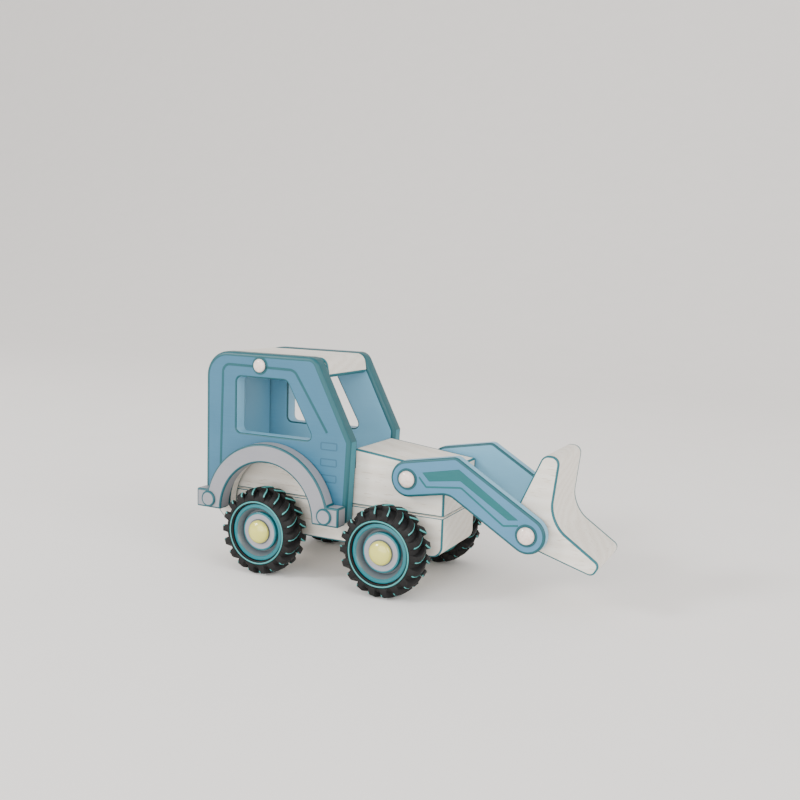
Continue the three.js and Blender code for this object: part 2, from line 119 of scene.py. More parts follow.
bpy.ops.object.select_all(action="DESELECT")
bpy.ops.object.camera_add()
camera = bpy.context.active_object
lean = Matrix.Rotation(YAW, 4, "Z") @ Matrix.Rotation(math.pi / 2 - PITCH, 4, "X")
lean = lean @ Matrix.Rotation(ROLL, 4, "Z")
camera.matrix_world = Matrix.Translation(place(*CAMERA_AT)) @ lean
camera.data.lens = LENS
camera.data.clip_start = 0.01
bpy.context.scene.camera = camera
print("camera, mm:", [round(v / MM) for v in camera.matrix_world.translation], "lens, mm:", LENS)

# %% [markdown]
# ## Colours and one helper for nodes
#
# Paint makers give colours as sRGB hex. A shader works in linear light, so `paint` converts them
# once. `add` puts one node into a material with its settings and links, and every material below is
# built from it.

# %% Colour and node helpers
def paint(code):
    channels = [int(code[i:i + 2], 16) / 255 for i in (0, 2, 4)]
    linear = [c / 12.92 if c <= 0.04045 else ((c + 0.055) / 1.055) ** 2.4 for c in channels]
    return (*linear, 1.0)


def add(tree, kind, settings=None, **inputs):
    made = tree.nodes.new(kind)
    for name, value in (settings or {}).items():
        setattr(made, name, value)
    for name, value in inputs.items():
        socket = made.inputs[int(name[1:])] if name[1:].isdigit() else made.inputs[name.replace("_", " ")]
        if isinstance(value, bpy.types.NodeSocket):
            tree.links.new(value, socket)
        else:
            socket.default_value = value
    return made


def new_material(name, roughness, ior=1.5, coat=0.0, coat_roughness=0.04):
    material = bpy.data.materials.new(name)
    material.use_nodes = True
    tree = material.node_tree
    shader = tree.nodes["Principled BSDF"]
    shader.inputs["Roughness"].default_value = roughness
    shader.inputs["IOR"].default_value = ior
    shader.inputs["Coat Weight"].default_value = coat
    shader.inputs["Coat Roughness"].default_value = coat_roughness
    return material, tree, shader


def along_grain(tree, stretch):
    """Object coordinates in millimetres, with the grain along X drawn out by `stretch`."""
    where = add(tree, "ShaderNodeTexCoord").outputs["Object"]
    return add(tree, "ShaderNodeMapping", Vector=where, Scale=(1000 / stretch, 1000, 1000)).outputs["Vector"]


def blend_colours(tree, factor, first, second):
    mixer = add(tree, "ShaderNodeMix", {"data_type": "RGBA"}, _0=factor, _6=first, _7=second)
    return mixer.outputs[2]


def graded(tree, value, low, high, to_low=0.0, to_high=1.0):
    return add(tree, "ShaderNodeMapRange", Value=value, From_Min=low, From_Max=high,
               To_Min=to_low, To_Max=to_high).outputs["Result"]


print("mid grey in linear light:", round(paint("808080")[0], 3))


# %% [markdown]
# ## Bare beech
#
# Beech is pale and close-grained. Three things make it look like beech rather than like any wood:
# growth rings a few millimetres apart, which show as soft bands along the grain and as arcs on a
# sawn end, tiny dark flecks one to three millimetres long, where the rays are cut through, and very
# little contrast between all of them. A picture of wood could be wrapped on, but it would not
# agree between two faces of one block. A solid pattern in object coordinates does, so the rings are
# measured from the heart of an imaginary tree below the truck.

# %% Bare beech
RING_SPACING = 5.0  # mm between growth rings
HEART = (0.0, 90.0, -150.0)  # mm, where the heart of the tree lies
FLECK = (7.0, 0.9)  # a ray fleck's length to width, and its width in mm, drawn large enough to show


def bare_beech(name, pale, dark, fleck):
    material, tree, shader = new_material(name, 0.55)
    grain = along_grain(tree, 14)
    where = add(tree, "ShaderNodeTexCoord").outputs["Object"]
    centred = add(tree, "ShaderNodeMapping", Vector=where, Location=Vector(HEART) * -1,
                  Scale=(60, 1000, 1000)).outputs["Vector"]
    wander = add(tree, "ShaderNodeTexNoise", Vector=grain, Scale=0.05, Detail=3.0).outputs["Color"]
    bent = add(tree, "ShaderNodeVectorMath", {"operation": "MULTIPLY_ADD"}, _0=wander, _1=(9, 9, 9),
               _2=centred).outputs["Vector"]
    rings = add(tree, "ShaderNodeTexWave", {"wave_type": "RINGS", "rings_direction": "X"}, Vector=bent,
                Scale=math.tau / 20 / RING_SPACING, Distortion=2.0, Detail=2.0).outputs["Fac"]
    fine = add(tree, "ShaderNodeTexNoise", Vector=grain, Scale=1.6, Detail=4.0).outputs["Fac"]
    stretched = along_grain(tree, FLECK[0])
    specks = add(tree, "ShaderNodeTexNoise", Vector=stretched, Scale=1 / FLECK[1], Detail=1.0).outputs["Fac"]
    speck_mask = graded(tree, specks, 0.63, 0.72, 0.0, 0.55)
    banded = blend_colours(tree, graded(tree, rings, 0.0, 1.0, 0.0, 0.6), paint(pale), paint(dark))
    fibred = blend_colours(tree, graded(tree, fine, 0.35, 0.75, 0.0, 0.35), banded, paint(dark))
    tree.links.new(blend_colours(tree, speck_mask, fibred, paint(fleck)), shader.inputs["Base Color"])
    tree.links.new(graded(tree, fine, 0.3, 0.8, 0.5, 0.66), shader.inputs["Roughness"])
    ridge = add(tree, "ShaderNodeBump", Height=fine, Strength=0.16, Distance=0.0002)
    tree.links.new(ridge.outputs["Normal"], shader.inputs["Normal"])
    return material


BEECH = bare_beech("sanded bare beech", "E1DCD3", "D3CBBE", "B9AB97")
print("wood:", BEECH.name)

# %% [markdown]
# ## Paint on beech
#
# The blue, teal and grey pieces are beech under two coats of water-based paint. The paint is satin,
# so highlights are broad, and it is rolled on, which leaves a faint orange peel a little under a
# millimetre across. The grain swells under the first coat and still shows as fine ridges. Hands rub
# the top coat lighter here and there. A mask from the shape's edges would be one way to place that
# wear, but these edges are too soft for it to find, so a coarse noise lightens the paint in clouds.

# %% Paint on beech
PEEL = 0.7  # mm across one dimple of the roller's orange peel


def rolled_paint(name, colour, worn, roughness=0.42, coat=0.0):
    material, tree, shader = new_material(name, roughness, coat=coat)
    grain = along_grain(tree, 16)
    round_peel = along_grain(tree, 1)
    cloud = add(tree, "ShaderNodeTexNoise", Vector=round_peel, Scale=0.03, Detail=4.0).outputs["Fac"]
    fibre = add(tree, "ShaderNodeTexNoise", Vector=grain, Scale=1.1, Detail=3.0).outputs["Fac"]
    peel = add(tree, "ShaderNodeTexNoise", Vector=round_peel, Scale=1 / PEEL, Detail=1.0).outputs["Fac"]
    clouded = blend_colours(tree, graded(tree, cloud, 0.35, 0.7, 0.0, 0.5), paint(colour), paint(worn))
    lined = blend_colours(tree, graded(tree, fibre, 0.5, 0.8, 0.0, 0.35), clouded, paint(worn))
    tree.links.new(lined, shader.inputs["Base Color"])
    dulled = graded(tree, cloud, 0.3, 0.7, roughness - 0.06, roughness + 0.1)
    tree.links.new(dulled, shader.inputs["Roughness"])
    under = add(tree, "ShaderNodeBump", Height=fibre, Strength=0.18, Distance=0.0002).outputs["Normal"]
    over = add(tree, "ShaderNodeBump", Height=peel, Normal=under, Strength=0.12, Distance=0.0001)
    tree.links.new(over.outputs["Normal"], shader.inputs["Normal"])
    return material


BLUE = rolled_paint("dusty blue water-based paint", "2F6580", "3A708A")
ARM_BLUE = rolled_paint("dusty blue paint on the arms", "417796", "4C81A0")
# The lighter blue is painted light: a lighter copy of the blue for the cab's inside, the rear wall and the
# arms' edges, which the lamps leave in shade.
PAINTED_LIGHT_BLUE = rolled_paint("lighter blue water-based paint", "6BA3BF", "78AEC8")
TEAL = rolled_paint("deep teal water-based paint", "004A53", "00545C")
# A lighter copy of the deep teal, a painted highlight on the cab sides' lower front edge.
HIGHLIGHT_TEAL = rolled_paint("lighter teal on the front edge", "1D6C7B", "28757F")
STRIPE = rolled_paint("teal screen print", "00585D", "006266", roughness=0.5)
FAINT = rolled_paint("faint blue screen print", "24566F", "2B5D75", roughness=0.5)
GREY = rolled_paint("light grey water-based paint", "86878D", "8F9096")
RIM_TEAL = rolled_paint("rim teal enamel", "00656F", "0C727C", roughness=0.32, coat=0.2)
# The dark grey is painted shade: it darkens the rim's dish and leaves a thin painted shadow round the axle
# peg's head.
HUB_SHADE_GREY = rolled_paint("rim dark grey enamel", "545C61", "60686D", roughness=0.35, coat=0.2)
DISC_GREY = rolled_paint("disc light grey enamel", "8F8F98", "9999A1", roughness=0.35, coat=0.2)
YELLOW = rolled_paint("pale yellow gloss enamel", "CAC658", "D2CE6A", roughness=0.2, coat=1.0)
EDGE_LINE = rolled_paint("thin teal edge line", "0B5962", "216A72", roughness=0.5)
print("paints:", [material.name for material in (BLUE, TEAL, GREY, YELLOW)], "and their shades")

# %% [markdown]
# ## Lacquered pegs
#
# The pegs that show on the cab and the arms are turned beech under clear gloss lacquer, which gives
# each domed head one sharp highlight over a warm, rosy wood. The gloss is the shader's coat, so that
# the wood below keeps its own, duller shine.

# %% Lacquered peg
def lacquered_peg(name, pale, warm):
    material, tree, shader = new_material(name, 0.3, coat=1.0)
    rings = add(tree, "ShaderNodeTexNoise", Vector=along_grain(tree, 1), Scale=0.5, Detail=3.0).outputs["Fac"]
    mixed = blend_colours(tree, graded(tree, rings, 0.35, 0.7), paint(pale), paint(warm))
    tree.links.new(mixed, shader.inputs["Base Color"])
    ridge = add(tree, "ShaderNodeBump", Height=rings, Strength=0.05, Distance=0.0001)
    tree.links.new(ridge.outputs["Normal"], shader.inputs["Normal"])
    return material


PEG = lacquered_peg("lacquered beech peg", "E8DCD2", "D9BDB2")
print("lacquer:", PEG.name)

# %% [markdown]
# ## Rubber
#
# A moulded tyre is nearly black and matt, with a fine pebbled skin from the spark-eroded mould. It
# picks up pale dust, so a coarse noise lifts the colour and the roughness a little. Along one edge
# of each lug a pale teal is painted on as a painted highlight, and its bead is painted.

# %% Moulded rubber
MOULD_GRIT = 0.5  # mm, drawn coarser than the real skin so that it shows


def moulded_rubber(name, colour, dusty):
    material, tree, shader = new_material(name, 0.7, ior=1.4)
    where = along_grain(tree, 1)
    grit = add(tree, "ShaderNodeTexNoise", Vector=where, Scale=1 / MOULD_GRIT, Detail=2.0).outputs["Fac"]
    dust = add(tree, "ShaderNodeTexNoise", Vector=where, Scale=0.12, Detail=5.0).outputs["Fac"]
    mixed = blend_colours(tree, graded(tree, dust, 0.45, 0.75, 0.0, 0.6), paint(colour), paint(dusty))
    tree.links.new(mixed, shader.inputs["Base Color"])
    tree.links.new(graded(tree, dust, 0.3, 0.8, 0.55, 0.85), shader.inputs["Roughness"])
    skin = add(tree, "ShaderNodeBump", Height=grit, Strength=0.25, Distance=0.0001)
    tree.links.new(skin.outputs["Normal"], shader.inputs["Normal"])
    return material


RUBBER = moulded_rubber("moulded black rubber", "070606", "0E0C0D")
# The pale teal rubber is a painted highlight along each lug's crest.
LUG_HIGHLIGHT_RUBBER = moulded_rubber("rubber rubbed pale on a lug's crest", "4FA09D", "3C8583")
BEAD_LINE = rolled_paint("pale teal bead line", "3A8B8C", "4B9998", roughness=0.5)
print("rubber:", RUBBER.name, "and", LUG_HIGHLIGHT_RUBBER.name)

# %% [markdown]
# ## Drawing with one vertex
#
# Almost every piece here starts as a line that is drawn: the outline of a plate, or the
# section of a turned part. The quick way in Blender is to collapse a plane to one vertex and to
# extrude that vertex from corner to corner. Adding each vertex by its numbers would also do, but
# then a piece could not be remade by hand in the same steps. Going into edit mode always clears the
# selection first, so no step works on what an earlier one left selected.

# %% Drawing with one vertex
def in_edit_mode(piece):
    if bpy.context.mode != "OBJECT":
        bpy.ops.object.mode_set(mode="OBJECT")
    bpy.ops.object.select_all(action="DESELECT")
    piece.select_set(True)
    bpy.context.view_layer.objects.active = piece
    bpy.ops.object.mode_set(mode="EDIT")
    bpy.ops.mesh.select_mode(type="VERT")
    bpy.ops.mesh.select_all(action="DESELECT")


def one_vertex(name, at):
    """A new piece that is a single vertex, selected in edit mode."""
    bpy.ops.object.select_all(action="DESELECT")
    bpy.ops.mesh.primitive_plane_add(size=MM, location=at)
    piece = bpy.context.active_object
    piece.name = piece.data.name = name
    bpy.ops.object.transform_apply(location=True, rotation=True, scale=True)
    in_edit_mode(piece)
    bpy.ops.mesh.select_all(action="SELECT")
    bpy.ops.mesh.merge(type="CENTER")
    return piece


def extrude_by(move):
    bpy.ops.mesh.extrude_region_move(TRANSFORM_OT_translate={"value": move})


def draw_through(points):
    for before, after in zip(points, points[1:]):
        extrude_by(after - before)


print("drawing starts in", bpy.context.mode.lower(), "mode")

# %% [markdown]
# ## Plates
#
# Nearly every wooden piece is a plate: a flat outline with some thickness across the truck. F fills
# the outline that was drawn, and one more extrusion gives it its thickness. Each corner is then an
# edge that runs across the truck, and the bevel tool rounds it. A bevel's offset is the distance
# from the corner to where the arc begins, so the offset for a wanted radius follows from the
# corner's own angle.

# %% Plates
ARC_CHORD = 0.9  # mm, the longest straight step on a rounded corner
LEAST_STEPS = 3


def select_edges_across(piece, x, z):
    """Selects the edges that run across the truck at one corner of an outline."""
    bpy.ops.mesh.select_mode(type="EDGE")
    bpy.ops.mesh.select_all(action="DESELECT")
    mesh = bmesh.from_edit_mesh(piece.data)
    corner = place(x, 0, z)
    near = MM * 0.01
    for edge in mesh.edges:
        ends = [(v.co.x - corner.x, v.co.z - corner.z) for v in edge.verts]
        edge.select_set(all(abs(a) < near and abs(b) < near for a, b in ends))
    bmesh.update_edit_mesh(piece.data)


def round_corners(piece, corners):
    for i, (x, z, radius) in enumerate(corners):
        if not radius:
            continue
        here = Vector((x, z))
        back = Vector(corners[i - 1][:2]) - here
        on = Vector(corners[(i + 1) % len(corners)][:2]) - here
        angle = back.angle(on)
        steps = max(LEAST_STEPS, math.ceil((math.pi - angle) * radius / ARC_CHORD))
        select_edges_across(piece, x, z)
        bpy.ops.mesh.bevel(offset=radius * MM / math.tan(angle / 2), segments=steps, affect="EDGES",
                           offset_type="OFFSET", clamp_overlap=False)


def saw_plate(name, corners, right, left):
    """A plate with corners (x, z, radius), from its right face to its left face, all in mm."""
    points = [place(x, right, z) for x, z, _ in corners]
    piece = one_vertex(name, points[0])
    draw_through(points)
    bpy.ops.mesh.select_all(action="SELECT")
    bpy.ops.mesh.edge_face_add()
    extrude_by(Vector((0, left - right, 0)) * MM)
    bpy.ops.mesh.select_all(action="SELECT")
    bpy.ops.mesh.normals_make_consistent(inside=False)
    round_corners(piece, corners)
    bpy.ops.object.mode_set(mode="OBJECT")
    return piece


print("a corner of 10 mm radius gets", math.ceil(math.pi / 2 * 10 / ARC_CHORD), "steps")

# %% [markdown]
# ## Joining and cutting
#
# A window, a peg hole or a foot is a solid of its own, which a Boolean modifier takes away or adds.
# This is done while a plate is still plain, before any line of paint or rounded edge, because a cut
# through many small faces leaves slivers. Two solids that are joined share flat faces, so the lines
# between those are dissolved and flat wood is one flat face again.

# %% Joining and cutting
def active(piece):
    bpy.ops.object.select_all(action="DESELECT")
    piece.select_set(True)
    bpy.context.view_layer.objects.active = piece


def apply_modifier(piece, modifier):
    active(piece)
    bpy.ops.object.modifier_apply(modifier=modifier.name)


def sides_of(piece):
    """Where a piece's right and left sides are, in metres."""
    across = [v.co.y for v in piece.data.vertices]
    return min(across), max(across)


def combine(piece, tool, operation):
    boolean = piece.modifiers.new(operation.lower(), "BOOLEAN")
    boolean.operation = operation
    boolean.object = tool
    boolean.solver = "EXACT"
    apply_modifier(piece, boolean)
    bpy.data.objects.remove(tool)
    in_edit_mode(piece)
    bpy.ops.mesh.select_all(action="SELECT")
    bpy.ops.mesh.remove_doubles(threshold=MM * 0.002)
    if operation == "UNION":
        bpy.ops.mesh.dissolve_limited(angle_limit=math.radians(0.5))
    bpy.ops.object.mode_set(mode="OBJECT")


BIT_SIDES = 40
BIT_LENGTH = 200  # mm, longer than any piece is wide


def drill(piece, x, z, radius):
    """A hole across the truck, through the whole piece."""
    bpy.ops.object.select_all(action="DESELECT")
    low, high = sides_of(piece)
    at = place(x, 0, z)
    at.y = (low + high) / 2
    bpy.ops.mesh.primitive_cylinder_add(vertices=BIT_SIDES, radius=radius * MM, depth=BIT_LENGTH * MM,
                                        location=at, rotation=(math.pi / 2, 0, 0))
    bit = bpy.context.active_object
    bpy.ops.object.transform_apply(location=True, rotation=True, scale=True)
    combine(piece, bit, "DIFFERENCE")


print("a drilled hole has", BIT_SIDES, "sides")

# %% [markdown]
# ## Painting by hand
#
# The maker dips or rolls a piece and then runs a line of darker paint along its edges. Each piece
# therefore has its main material first and its line second. On a plate the line is an inset border
# on its two flat faces. On a thick block it is a strip that is cut in along both sides. Other faces
# are picked by where they are and which way they look. A mask in the material could draw the same
# line, but it would be soft, and it could not follow a window.

# %% Painting by hand
def coat(piece, *materials):
    piece.data.materials.clear()
    for material in materials:
        piece.data.materials.append(material)


def select_faces(piece, wanted):
    """Selects the faces of a piece in edit mode for which `wanted` is true."""
    bpy.ops.mesh.select_mode(type="FACE")
    bpy.ops.mesh.select_all(action="DESELECT")
    mesh = bmesh.from_edit_mesh(piece.data)
    for face in mesh.faces:
        face.select_set(wanted(face))
    bmesh.update_edit_mesh(piece.data)


def paint_border(piece, outer, inner):
    """Paints a line inside the right face's outline, `outer` mm wide, and the left's, `inner` mm wide."""
    in_edit_mode(piece)
    for way, width in ((-1, outer), (1, inner)):
        select_faces(piece, lambda face: face.normal.y * way > 0.9)
        bpy.ops.mesh.inset(thickness=width * MM, use_boundary=True, use_even_offset=True,
                           use_select_inset=True)
        mesh = bmesh.from_edit_mesh(piece.data)
        for face in mesh.faces:
            if face.select:
                face.material_index = 1
        bmesh.update_edit_mesh(piece.data)
    bpy.ops.object.mode_set(mode="OBJECT")


def paint_faces(piece, index, wanted):
    """Gives a material to every face for which `wanted` is true of its centre, in mm, and its normal."""
    for face in piece.data.polygons:
        if wanted((face.center - REAR_AXLE) / MM, face.normal):
            face.material_index = index


def paint_rim(piece, right, left):
    """Carries the paint line this far in from each side, on the faces that run across the truck."""
    low, high = sides_of(piece)
    right_cut, left_cut = low + right * MM, high - left * MM
    in_edit_mode(piece)
    for cut in (right_cut, left_cut):
        bpy.ops.mesh.select_all(action="SELECT")
        bpy.ops.mesh.bisect(plane_co=(0, cut, 0), plane_no=(0, 1, 0))
    bpy.ops.object.mode_set(mode="OBJECT")
    for face in piece.data.polygons:
        if abs(face.normal.y) < 0.5 and not right_cut < face.center.y < left_cut:
            face.material_index = 1


def paint_inside(piece, index):
    """Gives a material to the bare part of the face that looks left, into the truck."""
    for face in piece.data.polygons:
        if face.normal.y > 0.9 and face.material_index == 0:
            face.material_index = index


print("a piece has its paint in slot 0 and its line in slot 1")

# %% [markdown]
# ## Softening the edges
#
# No toy has a sharp edge. The maker rounds each one with a router or with sandpaper, and a Bevel
# modifier does the same to every edge that is sharper than forty degrees. The new faces get the
# second material, since the line of paint runs round the edge. Weighted normals then keep the large
# faces flat in the light.

# %% Softening the edges
SHARP = 40  # degrees, the least turn that counts as an edge


def level_flat_faces(piece):
    """Smooth shading that leaves large faces flat and keeps true corners sharp."""
    active(piece)
    bpy.ops.object.shade_smooth_by_angle(angle=math.radians(SHARP))
    weighted = piece.modifiers.new("flat faces stay flat", "WEIGHTED_NORMAL")
    weighted.keep_sharp = True
    apply_modifier(piece, weighted)


def soften(piece, radius, segments=3):
    bevel = piece.modifiers.new("soft edges", "BEVEL")
    bevel.width = radius * MM
    bevel.use_clamp_overlap = False
    bevel.segments = segments
    bevel.limit_method = "ANGLE"
    bevel.angle_limit = math.radians(SHARP)
    bevel.material = 1 if len(piece.data.materials) > 1 else -1
    apply_modifier(piece, bevel)
    level_flat_faces(piece)


print("edges sharper than", SHARP, "degrees are rounded")

# %% [markdown]
# ## Standing in for a node, and copies
#
# A finished piece rides on the body of the node that it stands for, and the node is hidden.
# Right-hand pieces are made first. Their twins are copies with a mesh of their own, mirrored
# through the middle of the truck. Mirroring turns a mesh inside out, so its normals are worked out
# again.

# %% Standing in, copies and twins
def stand_for(piece, node):
    """The finished piece takes the node's place and body, and the node is hidden."""
    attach(piece, BODY_OF[node])
    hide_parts(node)
    print(piece.name, len(piece.data.polygons), "faces")


def copy_of(piece, name, move=(0, 0, 0)):
    active(piece)
    bpy.ops.object.duplicate(linked=False)
    twin = bpy.context.active_object
    twin.name = twin.data.name = name
    twin.data.transform(Matrix.Translation(Vector(move) * MM))
    return twin


def mirrored(piece, name):
    twin = copy_of(piece, name)
    twin.data.transform(Matrix.Scale(-1, 4, (0, 1, 0)))
    in_edit_mode(twin)
    bpy.ops.mesh.select_all(action="SELECT")
    bpy.ops.mesh.normals_make_consistent(inside=False)
    bpy.ops.object.mode_set(mode="OBJECT")
    return twin


def stand_on_both_sides(piece, node):
    """The right-hand piece and its mirrored twin stand for the node's right and left ones."""
    twin = mirrored(piece, f"{node}_left")
    stand_for(piece, f"{node}_right")
    stand_for(twin, f"{node}_left")


print("nodes to stand for:", len(BODY_OF))

# %% [markdown]
# ## Chassis and body block
#
# The chassis is one long block with rounded ends below, and the body block on it is stepped: low
# under the cab, then the sloping bonnet. Both are bare beech with a painted line along their long
# edges. The seam between them is only a fine line, so the paint is taken off the edges there. The
# two dowels inside them keep the frame's plain solids and only get their wood.

# %% Chassis and body block
LINE_ON_WOOD = 0.9  # mm, the radius of an edge on bare wood


def plain_edges_near(piece, height, reach=1.5):
    """Edge faces near one height get the wood back in place of the paint line."""
    level = place(0, 0, height).z
    for face in piece.data.polygons:
        if abs(face.center.z - level) < reach * MM and abs(face.normal.z) > 0.3:
            face.material_index = 0


low, high = span("chassis_block")
SEAM = high.z
chassis_corners = [(low.x, low.z, 15), (high.x, low.z, 6), (high.x, high.z, 0), (low.x, high.z, 0)]
chassis = saw_plate("chassis", chassis_corners, low.y, high.y)
coat(chassis, BEECH, EDGE_LINE)
soften(chassis, LINE_ON_WOOD)
plain_edges_near(chassis, SEAM)
stand_for(chassis, "chassis_block")

BONNET_FOOT = span("cab_side_right")[1].x - 1.9  # where the bonnet begins, at the cab's front edge
CAB_FLOOR = 37.5
BONNET_FRONT_TOP = 41.2
low, high = span("body_block")
body_block = saw_plate(
    "body_block",
    [(low.x, low.z, 0), (high.x, low.z, 0), (high.x, BONNET_FRONT_TOP, 0), (BONNET_FOOT, high.z, 0),
     (BONNET_FOOT, CAB_FLOOR, 0), (low.x, CAB_FLOOR, 0)],
    low.y, high.y)
coat(body_block, BEECH, EDGE_LINE)
paint_rim(body_block, right=LINE_ON_WOOD + 0.4, left=LINE_ON_WOOD + 1.2)
soften(body_block, LINE_ON_WOOD)
plain_edges_near(body_block, SEAM)
stand_for(body_block, "body_block")

for dowel in ("locating_dowel_rear", "locating_dowel_front"):
    coat(frame["nodes"][dowel], BEECH)

# %% [markdown]
# ## Cab sides: the plate
#
# Each cab side is one plate with a raked windscreen edge, a window, and an arch cut out over the
# wheel. The arch is drawn as a square notch whose two upper corners are rounded by nearly half its
# width, which makes a half circle. A straight stretch is left between the two, because the border
# that is inset later needs room there. The window is a second, smaller plate that is cut away.

# %% Cab sides: the plate
CAB_BORDER = 2.3  # mm, the painted line, measured from the plate's edge
ARCH_X, ARCH_Z = 2.0, 8.0  # the middle of the arch
ARCH_RADIUS = 29.3
BELT_Z = 51.2  # where the windscreen's slope begins
SCREEN_TOP_X = 26.4
WINDOW = [(-22.9, 49.9, 3), (26.5, 49.9, 3), (9.2, 80.4, 3), (-22.9, 80.4, 3)]
CUTTER_REACH = 5  # mm past the plate on each side

low, high = span("cab_side_right")
ROUNDING = ARCH_RADIUS - CAB_BORDER - 0.2
arch_rear, arch_front, arch_top = ARCH_X - ARCH_RADIUS, ARCH_X + ARCH_RADIUS, ARCH_Z + ARCH_RADIUS
cab_side = saw_plate(
    "cab_side_right",
    [(low.x, low.z, 0), (arch_rear, low.z, 0), (arch_rear, arch_top, ROUNDING),
     (arch_front, arch_top, ROUNDING), (arch_front, low.z, 0), (BONNET_FOOT, low.z, 0),
     (high.x, BELT_Z, 0), (SCREEN_TOP_X, high.z, 6), (low.x, high.z, 14)],
    low.y, high.y)
window_cutter = saw_plate("window_cutter", WINDOW, low.y - CUTTER_REACH, high.y + CUTTER_REACH)
combine(cab_side, window_cutter, "DIFFERENCE")
print("cab side, mm:", [round(v / MM, 1) for v in cab_side.dimensions])

# %% [markdown]
# ## Cab sides: paint and edges
#
# The outside is dusty blue with a broad line of deep teal along its edges. The inside and the
# window's walls are a lighter blue, painted light for the cab's inside, which the lamps leave in
# shade. The arch's wall is left bare behind the mudguard, and the lower front edge is a lighter teal,
# a painted highlight. The border is inset first. The faces are then given their paint by place, the
# window's rim is bevelled narrowly, and every other edge is rounded last.

# %% Cab sides: paint and edges
CAB_EDGE = 1.8  # mm
WINDOW_EDGE = 0.8
coat(cab_side, BLUE, TEAL, PAINTED_LIGHT_BLUE, BEECH, HIGHLIGHT_TEAL)
paint_border(cab_side, CAB_BORDER, CAB_BORDER)
WINDOW_LOW = (WINDOW[0][0] - CAB_BORDER, WINDOW[0][1] - CAB_BORDER)
WINDOW_HIGH = (WINDOW[1][0] + CAB_BORDER, WINDOW[2][1] + CAB_BORDER)


def by_window(point):
    return WINDOW_LOW[0] < point.x < WINDOW_HIGH[0] and WINDOW_LOW[1] < point.z < WINDOW_HIGH[1]


def in_arch(point):
    return math.hypot(point.x - ARCH_X, point.z - ARCH_Z) < ARCH_RADIUS + 2


paint_faces(cab_side, 1, lambda centre, normal: abs(normal.y) < 0.5)
paint_faces(cab_side, 0, lambda centre, normal: normal.y < -0.9 and by_window(centre))
# Slot 2, the lighter blue on the inside and the window's walls, is painted light.
paint_faces(cab_side, 2, lambda centre, normal: by_window(centre) and normal.y > -0.5)
paint_faces(cab_side, 3, lambda centre, normal: abs(normal.y) < 0.5 and in_arch(centre))
# Slot 4, the lighter teal on the faces that look forward, is a painted highlight.
paint_faces(cab_side, 4, lambda centre, normal: normal.x > 0.99 and centre.x > WINDOW_HIGH[0])
paint_inside(cab_side, 2)

in_edit_mode(cab_side)
bpy.ops.mesh.select_mode(type="EDGE")
cab_mesh = bmesh.from_edit_mesh(cab_side.data)
for edge in cab_mesh.edges:
    ends = [(v.co - REAR_AXLE) / MM for v in edge.verts]
    across = abs(ends[0].y - ends[1].y) > 0.1
    edge.select_set(by_window(ends[0]) and not across and edge.calc_face_angle(0) > 1)
bmesh.update_edit_mesh(cab_side.data)
bpy.ops.mesh.bevel(offset=WINDOW_EDGE * MM, segments=3, affect="EDGES", material=1, clamp_overlap=False)
bpy.ops.object.mode_set(mode="OBJECT")
soften(cab_side, CAB_EDGE, segments=4)
stand_on_both_sides(cab_side, "cab_side")

# %% [markdown]
# ## Roof and rear wall
#
# The roof is a bare plank between the cab sides. Its front leans back a little and is rounded above,
# and a painted line marks its lower front edge. The rear wall is a painted board below it. Both are
# plates across the truck, so the same saw makes them.

# %% Roof and rear wall
ROOF_BACK = (1.0, 3.0)  # mm the roof's front stands back, below and above

low, high = span("cab_roof")
roof_corners = [(low.x, low.z, 0), (high.x - ROOF_BACK[0], low.z, 2.5), (high.x - ROOF_BACK[1], high.z, 5),
                (low.x, high.z, 10)]
roof = saw_plate("cab_roof", roof_corners, low.y, high.y)
coat(roof, BEECH, EDGE_LINE)
paint_faces(roof, 1, lambda centre, normal: normal.x > 0.3 and normal.z < -0.3)
soften(roof, LINE_ON_WOOD)
stand_for(roof, "cab_roof")

low, high = span("cab_rear_wall")
wall_corners = [(low.x, low.z, 0), (high.x, low.z, 0), (high.x, high.z, 0), (low.x, high.z, 0)]
rear_wall = saw_plate("cab_rear_wall", wall_corners, low.y, high.y)
# The rear wall takes the lighter blue, painted light for the shaded inside of the cab.
coat(rear_wall, PAINTED_LIGHT_BLUE, TEAL)
soften(rear_wall, 0.8)
stand_for(rear_wall, "cab_rear_wall")

# %% [markdown]
# ## Mudguards
#
# A mudguard is a half ring with a square foot at each end, sawn from one thick board. The ring is a
# section, drawn once at the rear end and spun half a turn about the middle of the arch. Its outline
# could be drawn like the other plates', but then two arcs would have to agree, and a spin gives both
# at once. The feet are two small plates, joined on with a Boolean.

# %% Mudguards
GUARD_EDGE = 0.9
GUARD_INNER, GUARD_OUTER = 28.8, 38.8
GUARD_STEPS = 96  # in the half turn
FOOT_TOP = ARCH_Z + 10.2

low, high = span("mudguard_right")
section = [place(ARCH_X - GUARD_OUTER, low.y, ARCH_Z), place(ARCH_X - GUARD_INNER, low.y, ARCH_Z),
           place(ARCH_X - GUARD_INNER, high.y, ARCH_Z), place(ARCH_X - GUARD_OUTER, high.y, ARCH_Z)]
mudguard = one_vertex("mudguard_right", section[0])
draw_through(section)
bpy.ops.mesh.select_all(action="SELECT")
bpy.ops.mesh.edge_face_add()
bpy.ops.mesh.spin(steps=GUARD_STEPS, angle=-math.pi, center=place(ARCH_X, 0, ARCH_Z), axis=(0, 1, 0))
bpy.ops.mesh.select_all(action="SELECT")
bpy.ops.mesh.remove_doubles(threshold=MM * 0.002)
bpy.ops.mesh.normals_make_consistent(inside=False)
bpy.ops.object.mode_set(mode="OBJECT")

